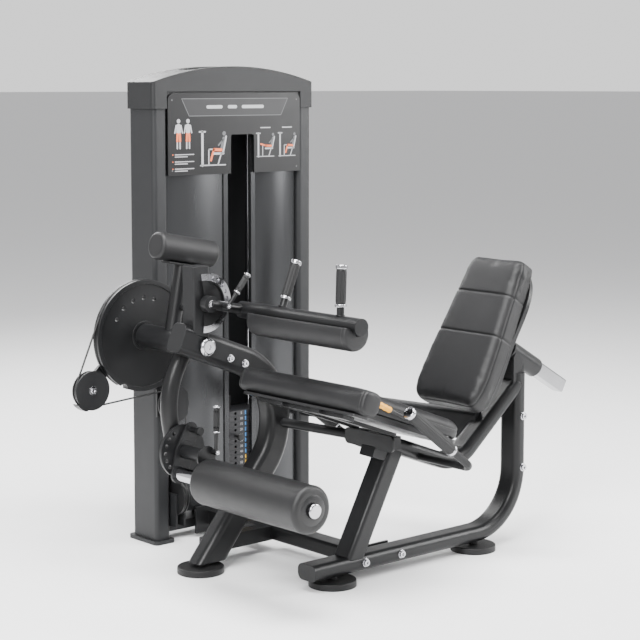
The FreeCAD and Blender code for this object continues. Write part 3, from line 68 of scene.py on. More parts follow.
def material(name, colour, rough, metal=0.0, vary=0.12, grain=0.0002, size=900, kind="noise",
             spec=0.5, rough_vary=0.08, edge=0.0, stretch=(1, 1, 1), bevel=0.0):
    """A node material: slow colour drift, fine grain in the bump, uneven gloss, and on pebbled ones painted
    shade in the grain's pits.
    """
    made = bpy.data.materials.new(name)
    made.use_nodes = True
    tree = made.node_tree
    nodes, links = tree.nodes, tree.links
    shader = nodes["Principled BSDF"]
    shader.inputs["Metallic"].default_value = metal
    shader.inputs["Specular IOR Level"].default_value = spec
    place = nodes.new("ShaderNodeTexCoord")
    turn = nodes.new("ShaderNodeMapping")
    turn.inputs["Scale"].default_value = stretch
    links.new(place.outputs["Object"], turn.inputs["Vector"])
    drift = nodes.new("ShaderNodeTexNoise")
    drift.inputs["Scale"].default_value = 9
    drift.inputs["Detail"].default_value = 5
    links.new(turn.outputs["Vector"], drift.inputs["Vector"])
    tint = nodes.new("ShaderNodeValToRGB")
    tint.color_ramp.elements[0].position = 0.32
    tint.color_ramp.elements[0].color = shade(colour, 1 - vary)
    tint.color_ramp.elements[1].position = 0.7
    tint.color_ramp.elements[1].color = shade(colour, 1 + vary)
    links.new(drift.outputs["Fac"], tint.inputs["Fac"])
    base = tint.outputs["Color"]
    fine = nodes.new("ShaderNodeTexVoronoi" if kind == "pebble" else "ShaderNodeTexNoise")
    fine.inputs["Scale"].default_value = size
    links.new(turn.outputs["Vector"], fine.inputs["Vector"])
    height = fine.outputs["Distance" if kind == "pebble" else "Fac"]
    if edge:
        worn = nodes.new("ShaderNodeNewGeometry")
        band = nodes.new("ShaderNodeValToRGB")
        band.color_ramp.elements[0].position = 0.52
        band.color_ramp.elements[1].position = 0.62
        band.color_ramp.elements[1].color = (edge, edge, edge, 1)
        links.new(worn.outputs["Pointiness"], band.inputs["Fac"])
        mix = nodes.new("ShaderNodeMix")
        mix.data_type = "RGBA"
        links.new(band.outputs["Color"], mix.inputs["Factor"])
        links.new(base, mix.inputs["A"])
        mix.inputs["B"].default_value = shade(colour, 2.4)
        base = mix.outputs["Result"]
    # Painted shade: on pebbled grain the colour is darkened in the pits (low Voronoi distance, the bump's
    # low points), then mostly mixed back to the plain colour.
    if kind == "pebble":
        painted_pit_shade = nodes.new("ShaderNodeMix")
        painted_pit_shade.data_type = "RGBA"
        painted_pit_shade.blend_type = "MULTIPLY"
        painted_pit_shade.inputs["Factor"].default_value = 0.35
        links.new(base, painted_pit_shade.inputs["A"])
        links.new(height, painted_pit_shade.inputs["B"])
        lift = nodes.new("ShaderNodeMix")
        lift.data_type = "RGBA"
        lift.inputs["Factor"].default_value = 0.7
        links.new(painted_pit_shade.outputs["Result"], lift.inputs["A"])
        links.new(base, lift.inputs["B"])
        base = lift.outputs["Result"]
    links.new(base, shader.inputs["Base Color"])
    gloss = nodes.new("ShaderNodeMapRange")
    gloss.inputs["To Min"].default_value = max(0.02, rough - rough_vary)
    gloss.inputs["To Max"].default_value = min(1, rough + rough_vary)
    smudge = nodes.new("ShaderNodeTexNoise")
    smudge.inputs["Scale"].default_value = 23
    smudge.inputs["Detail"].default_value = 4
    links.new(turn.outputs["Vector"], smudge.inputs["Vector"])
    links.new(smudge.outputs["Fac"], gloss.inputs["Value"])
    links.new(gloss.outputs["Result"], shader.inputs["Roughness"])
    bump = nodes.new("ShaderNodeBump")
    bump.inputs["Distance"].default_value = grain
    bump.inputs["Strength"].default_value = 0.6
    links.new(height, bump.inputs["Height"])
    if bevel:
        soft = nodes.new("ShaderNodeBevel")
        soft.samples = 4
        soft.inputs["Radius"].default_value = bevel
        links.new(soft.outputs["Normal"], bump.inputs["Normal"])
    links.new(bump.outputs["Normal"], shader.inputs["Normal"])
    return made


PAINT = material("frame_powder_coat", (0.0062, 0.0063, 0.0067), 0.34, vary=0.1, grain=0.00025, size=1300,
                 spec=0.27, edge=0.5, bevel=0.002)
TOWER = material("tower_powder_coat", (0.0115, 0.0118, 0.0125), 0.40, vary=0.07, grain=0.00025, size=1500,
                 spec=0.26, edge=0.4, bevel=0.002)
SHROUD = material("shroud_sheet", (0.050, 0.051, 0.053), 0.25, metal=0.8, vary=0.06, grain=0.00008,
                  size=700, stretch=(1, 1, 0.06), bevel=0.001)
COVER = material("cover_plastic", (0.0125, 0.0128, 0.0135), 0.42, vary=0.06, grain=0.0003, size=1100,
                 kind="pebble", spec=0.27, bevel=0.003)
PANEL = material("placard_panel", (0.0065, 0.0066, 0.0071), 0.34, vary=0.05, grain=0.00006, size=600,
                 spec=0.25)
CHROME = material("chrome", (0.50, 0.50, 0.52), 0.10, metal=1.0, vary=0.03, grain=0.00003, size=300,
                  rough_vary=0.05, bevel=0.001)
BLACK = material("black_enamel", (0.007, 0.007, 0.0075), 0.32, vary=0.1, grain=0.0002, size=1200,
                 spec=0.4, edge=0.4, bevel=0.0012)
VINYL = material("upholstery_vinyl", (0.0088, 0.0088, 0.0094), 0.46, vary=0.14, grain=0.0006, size=520,
                 kind="pebble", spec=0.34, rough_vary=0.07)
FOAM = material("roll_foam", (0.0080, 0.0080, 0.0084), 0.42, vary=0.14, grain=0.0007, size=620,
                kind="pebble", spec=0.36)
RUBBER = material("grip_rubber", (0.008, 0.008, 0.0084), 0.5, vary=0.12, grain=0.0004, size=900, spec=0.34)
NYLON = material("pulley_nylon", (0.010, 0.010, 0.0105), 0.38, vary=0.08, grain=0.0002, size=800,
                 spec=0.36, bevel=0.001)
YELLOW = material("yellow_grip", (0.78, 0.36, 0.012), 0.36, vary=0.06, grain=0.0002, size=500)
PLATES = material("stack_plates", (0.010, 0.010, 0.011), 0.4, vary=0.14, grain=0.0003, size=1000,
                  spec=0.36, edge=0.8, bevel=0.001)
CABLE = material("coated_cable", (0.012, 0.012, 0.0125), 0.36, vary=0.1, grain=0.0004, size=420,
                 stretch=(1, 1, 0.5))
THREAD = material("seam_thread", (0.004, 0.004, 0.0044), 0.6, vary=0.1, grain=0.0002, size=1500)
PIPING = material("edge_piping", (0.0072, 0.0072, 0.0076), 0.4, vary=0.1, grain=0.0003, size=700,
                  kind="pebble")
WHITE_INK = material("pale_print", (0.34, 0.34, 0.35), 0.5, vary=0.04, grain=0.00003, size=900)
ORANGE_INK = material("orange_print", (0.62, 0.13, 0.04), 0.5, vary=0.04, grain=0.00003, size=900)
GREY_INK = material("grey_print", (0.09, 0.091, 0.095), 0.5, vary=0.04, grain=0.00003, size=900)
BAND_INK = material("band_print", (0.018, 0.018, 0.019), 0.4, vary=0.04, grain=0.00003, size=900,
                    spec=0.3)
BLUE_INK = material("blue_print", (0.03, 0.20, 0.50), 0.5, vary=0.04, grain=0.00003, size=900)
YELLOW_INK = material("yellow_print", (0.70, 0.42, 0.02), 0.5, vary=0.04, grain=0.00003, size=900)
FLOOR = material("studio_floor", (0.93, 0.93, 0.93), 0.8, vary=0.004, grain=0.0002, size=300)

FINISH = {
    "rubber": RUBBER, "frame_paint": PAINT, "upholstery": VINYL, "black_steel": BLACK, "cable": CABLE,
    "chrome": CHROME, "tower_paint": TOWER, "shroud": SHROUD, "placard": PANEL, "cover_plastic": COVER,
    "plates": PLATES, "foam": FOAM, "yellow": YELLOW, "pulley_plastic": NYLON,
}
for row in frame["record"]["subparts"]:
    mesh = NODES[row["node"]].data
    mesh.materials.clear()
    mesh.materials.append(FINISH[row["material_slot"]])


def banded(name, centre, reach):
    """Black paint inside a polished band, by distance from an axis along Y."""
    made = material(name, (0.0062, 0.0063, 0.0067), 0.32, vary=0.1, size=1200, spec=0.3)
    nodes, links = made.node_tree.nodes, made.node_tree.links
    shader = nodes["Principled BSDF"]
    place = nodes.new("ShaderNodeTexCoord")
    flat = nodes.new("ShaderNodeVectorMath")
    flat.operation = "MULTIPLY"
    flat.inputs[1].default_value = (1, 0, 1)
    links.new(place.outputs["Object"], flat.inputs[0])
    away = nodes.new("ShaderNodeVectorMath")
    away.operation = "DISTANCE"
    away.inputs[1].default_value = centre
    links.new(flat.outputs["Vector"], away.inputs[0])
    outer = nodes.new("ShaderNodeMath")
    outer.operation = "GREATER_THAN"
    outer.inputs[1].default_value = reach
    links.new(away.outputs["Value"], outer.inputs[0])
    polished_look = (("Base Color", "RGBA", (0.5, 0.5, 0.52, 1)), ("Roughness", "FLOAT", 0.1))
    for word, kind, polished in polished_look:
        mix = nodes.new("ShaderNodeMix")
        mix.data_type = kind
        ends = [socket for socket in mix.inputs if socket.enabled and socket.name in ("A", "B")]
        links.new(outer.outputs["Value"], mix.inputs["Factor"])
        links.new(shader.inputs[word].links[0].from_socket, ends[0])
        ends[1].default_value = polished
        links.new([socket for socket in mix.outputs if socket.enabled][0], shader.inputs[word])
    links.new(outer.outputs["Value"], shader.inputs["Metallic"])
    return made


SLIDE = material("slide_chrome", (0.30, 0.30, 0.31), 0.16, metal=1.0, vary=0.05, grain=0.00004, size=400,
                 bevel=0.001)
NODES["back_slide"].data.materials[0] = SLIDE

# The thigh arm turns about this line along Y. The index plate is black out to the reach, then polished.
THIGH_HUB_X, THIGH_HUB_Z = -0.008, 0.841
INDEX_BLACK_REACH = 0.070
NODES["thigh_index_plate"].data.materials[0] = banded(
    "index_plate", (THIGH_HUB_X, 0, THIGH_HUB_Z), INDEX_BLACK_REACH)

# ---------------------------------------------------------------- mesh helpers


def piece_of(name, grid, look, smooth=True):
    """An object from a bmesh, in the row frame."""
    mesh = bpy.data.meshes.new(name)
    bmesh.ops.recalc_face_normals(grid, faces=grid.faces)
    grid.to_mesh(mesh)
    grid.free()
    made = bpy.data.objects.new(name, mesh)
    SCENE.collection.objects.link(made)
    for one in (look if isinstance(look, (list, tuple)) else [look]):
        mesh.materials.append(one)
    for face in mesh.polygons:
        face.use_smooth = smooth
    return made


def settle(piece, body):
    """Rides the piece on its body."""
    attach(piece, body)
    return piece


def basis(way):
    """A turn that takes +Z to way."""
    return Vector(way).normalized().to_track_quat("Z", "Y").to_matrix().to_4x4()


def lathe(grid, at, way, profile, steps=40, mat=0, flutes=0, deep=0.0012):
    """Turns (radius, height) points about way, from at. Flutes are grooves along the widest part."""
    widest = max(radius for radius, height in profile)
    frame_turn = Matrix.Translation(at) @ basis(way)
    rings = []
    for radius, height in profile:
        if radius < 1e-6:
            rings.append([grid.verts.new(frame_turn @ Vector((0, 0, height)))])
            continue
        ring = []
        for k in range(steps):
            a = 2 * math.pi * k / steps
            fluted = flutes and radius > widest - 0.0005
            dip = deep * (0.5 - 0.5 * math.cos(a * flutes)) ** 2 if fluted else 0
            ring.append(grid.verts.new(frame_turn @ Vector((
                (radius - dip) * math.cos(a), (radius - dip) * math.sin(a), height))))
        rings.append(ring)
    for low, high in zip(rings, rings[1:]):
        for k in range(steps):
            n = (k + 1) % steps
            corners = [low[k % len(low)], low[n % len(low)], high[n % len(high)], high[k % len(high)]]
            kept = list(dict.fromkeys(corners))
            if len(kept) > 2:
                grid.faces.new(kept).material_index = mat


def rounded_profile(radius, length, edge, steps=5):
    """A closed turning profile: a cylinder with rounded ends."""
    points = [(0, 0)]
    for k in range(steps + 1):
        a = math.pi / 2 * k / steps
        points.append((radius - edge + edge * math.sin(a), edge - edge * math.cos(a)))
    for k in range(steps + 1):
        a = math.pi / 2 * k / steps
        points.append((radius - edge + edge * math.cos(a), length - edge + edge * math.sin(a)))
    return points + [(0, length)]


def fluted_grip(grid, at, way, radius, length, flutes=14):
    """A rubber grip with grooves along it between plain ends."""
    rim, collar = radius - 0.002, radius - 0.0006
    profile = [(0, 0), (rim, 0), (collar, 0.0014), (collar, 0.005), (radius, 0.009)]
    profile += [(radius, length * k / 8) for k in range(1, 8)]
    profile += [(radius, length - 0.009), (collar, length - 0.005), (collar, length - 0.0014),
                (rim, length), (0, length)]
    lathe(grid, at, way, profile, flutes * 6, flutes=flutes)


def loft(grid, rings):
    """Skins a list of closed rings, and closes both ends with a fan."""
    made = [[grid.verts.new(p) for p in ring] for ring in rings]
    for low, high in zip(made, made[1:]):
        for k in range(len(low)):
            n = (k + 1) % len(low)
            grid.faces.new((low[k], low[n], high[n], high[k]))
    for ring in (made[0], made[-1]):
        middle = grid.verts.new(sum((v.co for v in ring), Vector()) / len(ring))
        for k in range(len(ring)):
            grid.faces.new((ring[k], ring[(k + 1) % len(ring)], middle))


def tube_along(grid, points, radius, steps=8):
    """A round cord through the points, closed into a loop."""
    count = len(points)
    rings = []
    for k, p in enumerate(points):
        turn = basis(points[(k + 1) % count] - points[k - 1])
        rings.append([grid.verts.new(p + turn @ Vector((
            radius * math.cos(2 * math.pi * j / steps), radius * math.sin(2 * math.pi * j / steps), 0)))
            for j in range(steps)])
    for k in range(count):
        low, high = rings[k], rings[(k + 1) % count]
        shift = min(range(steps), key=lambda j: (high[j].co - low[0].co).length)
        for j in range(steps):
            grid.faces.new((low[j], low[(j + 1) % steps],
                            high[(j + 1 + shift) % steps], high[(j + shift) % steps]))


def superellipse(count, half_a, half_b, power):
    """Points round a squared oval."""
    out = []
    for k in range(count):
        a = 2 * math.pi * k / count
        c, s = math.cos(a), math.sin(a)
        out.append((half_a * math.copysign(abs(c) ** (2 / power), c),
                    half_b * math.copysign(abs(s) ** (2 / power), s)))
    return out


# ---------------------------------------------------------------- upholstery


def puff(piece, cap, voxel=0.005, pressure=4.0, hold=None):
    """Fills a pad by cloth simulation, keeps its points within cap, and smooths it once."""
    bpy.context.view_layer.objects.active = piece
    remesh = piece.modifiers.new("remesh", "REMESH")
    remesh.mode = "VOXEL"
    remesh.voxel_size = voxel
    bpy.ops.object.modifier_apply(modifier=remesh.name)
    rest = [v.co.copy() for v in piece.data.vertices]
    cloth = piece.modifiers.new("cloth", "CLOTH")
    cloth.settings.use_pressure = True
    cloth.settings.uniform_pressure_force = pressure
    cloth.settings.effector_weights.gravity = 0
    cloth.point_cache.frame_start = 1
    cloth.point_cache.frame_end = 20
    for number in range(1, 21):
        SCENE.frame_set(number)
    shown = piece.evaluated_get(bpy.context.evaluated_depsgraph_get())
    moved = [v.co.copy() for v in shown.data.vertices]
    piece.modifiers.remove(cloth)
    SCENE.frame_set(1)
    for vertex, before, after in zip(piece.data.vertices, rest, moved):
        step = after - before
        if step.length > cap:
            step = step * (cap / step.length)
        vertex.co = before + step
    if hold:
        for vertex in piece.data.vertices:
            vertex.co = hold(vertex.co)
    relax = piece.modifiers.new("relax", "SMOOTH")
    relax.factor = 0.5
    relax.iterations = 3
    bpy.ops.object.modifier_apply(modifier=relax.name)
    finer = piece.modifiers.new("finer", "SUBSURF")
    finer.levels = finer.render_levels = 1
    bpy.ops.object.modifier_apply(modifier=finer.name)
    for face in piece.data.polygons:
        face.use_smooth = True
    return piece


def channel(piece, at, normal, deep=0.0022, wide=0.0035, where=None):
    """Presses a sewn seam into the pad along a plane."""
    normal = Vector(normal).normalized()
    mesh = piece.data
    pressed = [(v.index, v.normal.copy(), (v.co - at).dot(normal)) for v in mesh.vertices
               if where is None or where(v.co, v.normal)]
    for index, out, gap in pressed:
        if abs(gap) < 3 * wide:
            mesh.vertices[index].co -= out * deep * math.exp(-(gap / wide) ** 2)


def section(piece, at, normal):
    """The longest loop where a plane cuts the pad, as points in order."""
    grid = bmesh.new()
    grid.from_mesh(piece.data)
    hit = bmesh.ops.bisect_plane(grid, geom=grid.verts[:] + grid.edges[:] + grid.faces[:],
                                 plane_co=at, plane_no=normal)
    edges = {e for e in hit["geom_cut"] if isinstance(e, bmesh.types.BMEdge)}
    best = []
    while edges:
        edge = edges.pop()
        walk = [edge.verts[0], edge.verts[1]]
        going = True
        while going:
            going = False
            for e in walk[-1].link_edges:
                if e in edges:
                    edges.discard(e)
                    walk.append(e.other_vert(walk[-1]))
                    going = True
                    break
        if len(walk) > len(best):
            best = walk
    points = [v.co.copy() for v in best]
    grid.free()
    return points


def even(points, pitch):
    """The loop again, at an even pitch."""
    if (points[0] - points[-1]).length < 1e-6:
        points = points[:-1]
    loop = points + [points[0]]
    spans = [(b - a).length for a, b in zip(loop, loop[1:])]
    total = sum(spans)
    count = max(8, int(total / pitch))
    out, index, used = [], 0, 0.0
    for k in range(count):
        goal = total * k / count
        while used + spans[index] < goal:
            used += spans[index]
            index += 1
        part = (goal - used) / max(spans[index], 1e-9)
        out.append(loop[index].lerp(loop[index + 1], part))
    return out


def piping(name, piece, at, normal, body, radius=0.0018, sink=0.3):
    """A welt round the pad where a plane cuts it."""
    points = even(section(piece, at, Vector(normal)), 0.006)
    centre = sum(points, Vector()) / len(points)
    points = [p - (p - centre).normalized() * radius * sink for p in points]
    grid = bmesh.new()
    tube_along(grid, points, radius)
    return settle(piece_of(name, grid, PIPING), body)


def stitches(name, piece, at, normal, body, gap=0.0042, keep=None):
    """A row of short stitches on each side of a seam."""
    normal = Vector(normal).normalized()
    tree = BVHTree.FromObject(piece, bpy.context.evaluated_depsgraph_get())
    grid = bmesh.new()
    for side in (-1, 1):
        line = even(section(piece, at + normal * gap * side, normal), 0.0062)
        for p, q in zip(line, line[1:]):
            if keep and not keep(p):
                continue
            ahead = (q - p).normalized()
            out = tree.find_nearest(p)[1]
            across = ahead.cross(out).normalized() * 0.0005
            top = out * 0.0006
            a, b = p + ahead * 0.0006, p + ahead * 0.0044
            foot = [grid.verts.new(v) for v in (a - across, b - across, b + across, a + across)]
            peak = [grid.verts.new(v) for v in (a.lerp(b, 0.2) + top, a.lerp(b, 0.8) + top)]
            for corners in ((foot[0], foot[1], peak[1], peak[0]), (foot[2], foot[3], peak[0], peak[1]),
                            (foot[1], foot[2], peak[1]), (foot[3], foot[0], peak[0])):
                grid.faces.new(corners)
    return settle(piece_of(name, grid, THREAD), body)


def slope(degrees):
    """The ways along and up out of a face that falls by degrees towards +X."""
    turn = math.radians(degrees)
    return Vector((math.cos(turn), 0, -math.sin(turn))), Vector((math.sin(turn), 0, math.cos(turn)))


ACROSS = Vector((0, 1, 0))
SEAT_Y = -0.375
SEAT_ORIGIN = Vector((0.112, SEAT_Y, 0.602))
SEAT_ALONG, SEAT_UP = slope(20)
BACK_ORIGIN = Vector((0.661, SEAT_Y, 0.505))
BACK_AWAY, BACK_UP = slope(30)
BACK_HALF_WIDE, BACK_TALL = 0.150, 0.520


def on_seat(along, across, up):
    """A point in the seat's own directions."""
    return SEAT_ORIGIN + SEAT_ALONG * along + ACROSS * across + SEAT_UP * up


def on_back(away, across, up):
    """A point in the backrest's own directions, away from its front."""
    return BACK_ORIGIN + BACK_AWAY * away + ACROSS * across + BACK_UP * up


def knee_roll():
    """The long squared roll under the knees, with a welt near each end."""
    half, half_deep, half_high, bed, squareness = 0.281, 0.0375, 0.0365, 0.0375, 3.4
    shoulder = ((0.001, 0.80), (0.004, 0.90), (0.012, 0.965), (0.03, 0.985))
    stations = [(-half + inset, scale) for inset, scale in shoulder]
    stations += [(-0.14, 0.985), (0, 0.985), (0.14, 0.985)]
    stations += [(half - inset, scale) for inset, scale in reversed(shoulder)]
    outline = superellipse(56, half_deep, half_high, squareness)
    grid = bmesh.new()
    loft(grid, [[on_seat(x * scale, across, z * scale) for x, z in outline] for across, scale in stations])
    pad = piece_of("knee_roll_pad", grid, VINYL)

    def hold(point):
        local = point - SEAT_ORIGIN
        low = local.dot(SEAT_UP) + bed
        return point - SEAT_UP * low if low < 0 else point
    puff(pad, 0.003, voxel=0.0045, pressure=3, hold=hold)
    for side, word in ((-1, "near"), (1, "far")):
        at = on_seat(0, side * (half - 0.016), 0)
        channel(pad, at, ACROSS, 0.0014, 0.003)
        piping("knee_roll_welt_" + word, pad, at, ACROSS, "frame", 0.0016)
    settle(pad, "frame")
    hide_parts("knee_roll")


def seat_cushion():
    """The seat pad: crowned on top, flat on its board."""
    long, wide, low, high, front_edge, squareness = 0.455, 0.400, -0.018, 0.034, 0.040, 9
    middle = front_edge + long / 2
    levels = ((0, 0.975), (0.15, 0.99), (0.5, 0.995), (0.72, 0.985), (0.86, 0.962), (0.95, 0.925), (1, 0.86))
    grid = bmesh.new()
    rings = []
    for part, scale in levels:
        z = low + (high - low) * part
        outline = superellipse(120, long / 2 * scale, wide / 2 * scale, squareness)
        rings.append([on_seat(middle + x, y, z) for x, y in outline])
    loft(grid, rings)
    pad = piece_of("seat_pad", grid, VINYL)

    def hold(point):
        local = point - SEAT_ORIGIN
        under = low - local.dot(SEAT_UP)
        point = point + SEAT_UP * under if under > 0 else point
        front = front_edge - local.dot(SEAT_ALONG)
        return point + SEAT_ALONG * front if front > 0 else point
    puff(pad, 0.006, voxel=0.006, pressure=4, hold=hold)
    welt = on_seat(middle, 0, low + (high - low) * 0.55)
    channel(pad, welt, SEAT_UP, 0.0016, 0.003)
    piping("seat_pad_welt", pad, welt, SEAT_UP, "frame", 0.0018)
    settle(pad, "frame")
    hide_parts("seat_cushion")


def back_outline(count=132):
    """The backrest's face as (across, up): widest a fifth of the way up."""
    side = [(0.74, 0.004), (0.83, 0.014), (0.905, 0.04), (0.965, 0.1), (0.995, 0.2), (0.985, 0.35),
            (0.945, 0.5), (0.86, 0.75), (0.785, 0.93), (0.73, 0.982), (0.62, 1.0)]
    right = [Vector((x * BACK_HALF_WIDE, y * BACK_TALL)) for x, y in side]
    loop = right + [Vector((-p.x, p.y)) for p in reversed(right)]
    spans = [(b - a).length for a, b in zip(loop, loop[1:] + loop[:1])]
    total, out, index, used = sum(spans), [], 0, 0.0
    for k in range(count):
        goal = total * k / count
        while used + spans[index] < goal:
            used += spans[index]
            index += 1
        out.append(loop[index].lerp(loop[(index + 1) % len(loop)], (goal - used) / spans[index]))
    return out


def back_cushion():
    """The backrest pad: three sewn panels, a bevelled face edge and stitched seams."""
    outline = back_outline()
    centre = Vector((0, 0.25))
    board, seam_heights = 0.078, (0.245, 0.385)
    layers = ((0.0765, 0.006), (0.070, 0.002), (0.045, 0.001), (0.026, 0.002), (0.020, 0.004),
              (0.013, 0.0085), (0.007, 0.015), (0.0045, 0.026), (0.0035, 0.050), (0.003, 0.080))
    grid = bmesh.new()
    rings = []
    for away, inset in layers:
        ring = []
        for p in outline:
            inward = centre - p
            ring.append(p + inward.normalized() * min(inset, inward.length * 0.8))
        rings.append([on_back(away, p.x, p.y) for p in ring])
    loft(grid, rings)
    pad = piece_of("back_pad", grid, VINYL)

    def hold(point):
        behind = (point - BACK_ORIGIN).dot(BACK_AWAY) - board
        return point - BACK_AWAY * behind if behind > 0 else point

    def face(point, out):
        return out.dot(BACK_AWAY) < 0.55

    puff(pad, 0.004, voxel=0.005, pressure=4, hold=hold)
    for number, lift in enumerate(seam_heights, start=1):
        at = on_back(0.03, 0, lift)
        channel(pad, at, BACK_UP, 0.0034, 0.0034, face)
        stitches("back_stitches_%d" % number, pad, at, BACK_UP, "backrest",
                 keep=lambda p: (p - BACK_ORIGIN).dot(BACK_AWAY) < 0.05)
    crease = on_back(0.0215, 0, 0.26)
    channel(pad, crease, BACK_AWAY, 0.0022, 0.003)
    piping("back_face_welt", pad, crease, BACK_AWAY, "backrest", 0.0013, sink=0.2)
    piping("back_rear_welt", pad, on_back(0.069, 0, 0.26), BACK_AWAY, "backrest", 0.002)
    settle(pad, "backrest")
    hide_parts("back_cushion")


def thigh_pad():
    """The half-round pad slung under the thigh tube."""
    low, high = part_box("thigh_pad")
    x, z, radius, flat_top = 0.124, 0.790, 0.051, 0.8155
    bed, tube_off, tube_z = 0.0268, 0.004, 0.812
    grid = bmesh.new()
    section_points = []
    start = math.acos((flat_top - z) / radius)
    for k in range(41):
        a = start + (2 * math.pi - 2 * start) * k / 40
        section_points.append((math.sin(a) * (radius - 0.001), math.cos(a) * (radius - 0.001)))
    half = math.asin(0.0035 / bed)
    for k in range(15):
        a = math.pi / 2 - half - (math.pi - 2 * half) * k / 14
        section_points.append((tube_off - bed * math.sin(a), tube_z - z - bed * math.cos(a)))
    rings = []
    length = high.y - low.y
    stations = ((0.001, 0.86), (0.008, 0.94), (0.022, 0.985), (0.05, 1), (0.3, 1), (0.7, 1), (0.95, 1),
                (0.978, 0.985), (0.992, 0.94), (0.999, 0.86))
    for part, scale in stations:
        y = low.y + length * part
        ring = []
        for px, pz in section_points:
            below = pz < 0.024 and math.hypot(px - tube_off, pz - 0.022) > bed + 0.002
            grow = scale if below else 1
            ring.append(Vector((x + px * grow, y, z + pz * grow)))
        rings.append(ring)
    loft(grid, rings)
    pad = piece_of("thigh_roll_pad", grid, VINYL)
    finer = pad.modifiers.new("finer", "SUBSURF")
    finer.levels = finer.render_levels = 2
    bpy.context.view_layer.objects.active = pad
    bpy.ops.object.modifier_apply(modifier=finer.name)
    for face in pad.data.polygons:
        face.use_smooth = True
    welt_in = 0.016
    for y, word in ((low.y + welt_in, "far"), (high.y - welt_in, "near")):
        at = Vector((x, y, z))
        piping("thigh_welt_" + word, pad, at, ACROSS, "thigh_arm", 0.0014, sink=0.6)
    settle(pad, "thigh_arm")
    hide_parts("thigh_pad")


def ankle_roll():
    """The round foam roll, with soft shoulders and a seam near each end."""
    low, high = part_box("ankle_roll")
    radius = (high.z - low.z) / 2
    centre = (low + high) / 2
    length = high.y - low.y
    grid = bmesh.new()
    bore, edge, seam_in = 0.0245, 0.016, 0.019
    profile = [(bore, 0.001), (bore + 0.012, 0.0005)]
    for k in range(9):
        a = math.pi / 2 * k / 8
        profile.append((radius - edge + edge * math.sin(a), edge - edge * math.cos(a)))
    for k in range(1, 24):
        t = k / 24
        swell = 0.0012 * math.sin(math.pi * t)
        profile.append((radius - 0.0008 + swell, edge + (length - 2 * edge) * t))
    for k in range(9):
        a = math.pi / 2 * k / 8
        profile.append((radius - edge + edge * math.cos(a), length - edge + edge * math.sin(a)))
    profile += [(bore + 0.012, length - 0.0005), (bore, length - 0.001), (bore, 0.001)]
    lathe(grid, Vector((centre.x, low.y, centre.z)), ACROSS, profile, 96)
    roll = piece_of("ankle_roll_foam", grid, FOAM)
    for y in (low.y + seam_in, high.y - seam_in):
        channel(roll, Vector((centre.x, y, centre.z)), ACROSS, 0.001, 0.002)
    settle(roll, "ankle_roll")
    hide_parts("ankle_roll")
    grid = bmesh.new()
    rim = radius * 0.64
    disc = [(bore, 0), (radius * 0.62, 0.0004), (rim, 0.0012), (rim, 0.002), (bore, 0.002)]
    lathe(grid, Vector((centre.x, low.y - 0.0006, centre.z)), ACROSS, disc, 64)
    settle(piece_of("ankle_roll_end_disc", grid, BLACK), "ankle_roll")


# ---------------------------------------------------------------- grips and levers


def tilted(degrees):
    """The way up, leaned by degrees towards +X."""
    turn = math.radians(degrees)
    return Vector((math.sin(turn), 0, math.cos(turn)))


START_PIVOT = Vector((0.025925, 0.120, 0.808926))
ROLL_PIVOT = Vector((-0.025, -0.0985, 0.397))
THIGH_PIVOT = Vector((0.034, -0.082, 0.833))
THIGH_TUBE_X, THIGH_TUBE_Z = 0.128, 0.812
THIGH_HANDLES = ((-0.232, 22), (-0.500, 2))  # each handle's place along Y, and its lean


def thigh_handles():
    """Chrome collar, ribbed grip and chrome cap on each thigh handle."""
    grid = bmesh.new()
    for y, tilt in THIGH_HANDLES:
        way = tilted(tilt)
        foot = Vector((THIGH_TUBE_X, y, THIGH_TUBE_Z)) + way * 0.024
        lathe(grid, foot + way * 0.026, way, rounded_profile(0.017, 0.010, 0.0025), mat=1)
        fluted_grip(grid, foot + way * 0.036, way, 0.0154, 0.100)
        lathe(grid, foot + way * 0.136, way, rounded_profile(0.017, 0.014, 0.004), mat=1)
    grips = settle(piece_of("thigh_handle_sleeves", grid, (RUBBER, CHROME)), "thigh_arm")
    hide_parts("thigh_handle_grips")


def hand_lever(name, node, body, pivot, way, reach, grip_long, hub_long):
    """A short lever: hub, black stem, ribbed grip and chrome cap."""
    grid = bmesh.new()
    lathe(grid, pivot - ACROSS * hub_long, ACROSS, rounded_profile(0.009, hub_long, 0.0015), mat=2)
    start = pivot - ACROSS * (hub_long - 0.007)
    lathe(grid, start, way, rounded_profile(0.006, reach, 0.001), 24, mat=2)
    lathe(grid, start + way * (reach - 0.006), way, rounded_profile(0.0105, 0.006, 0.0018), mat=1)
    fluted_grip(grid, start + way * reach, way, 0.0097, grip_long, 10)
    lathe(grid, start + way * (reach + grip_long), way, rounded_profile(0.0105, 0.008, 0.003), mat=1)
    made = settle(piece_of(name, grid, (RUBBER, CHROME, BLACK)), body)
    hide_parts(node)


def bolt_head(grid, at, way, radius=0.0065, deep=0.0045):
    """A washer under a bevelled hexagon head with a dished top."""
    lathe(grid, at, way, rounded_profile(radius * 1.5, 0.0014, 0.0005), 32)
    turn = Matrix.Translation(at) @ basis(way)
    levels = ((0.94, 0.0013), (1, 0.0018), (1, deep - 0.0008), (0.86, deep), (0.5, deep),
              (0.46, deep - 0.002))
    rings = []
    for scale, height in levels:
        rings.append([turn @ Vector((radius * scale * math.cos(math.pi * k / 3),
                                     radius * scale * math.sin(math.pi * k / 3), height))
                      for k in range(6)])
    loft(grid, rings)


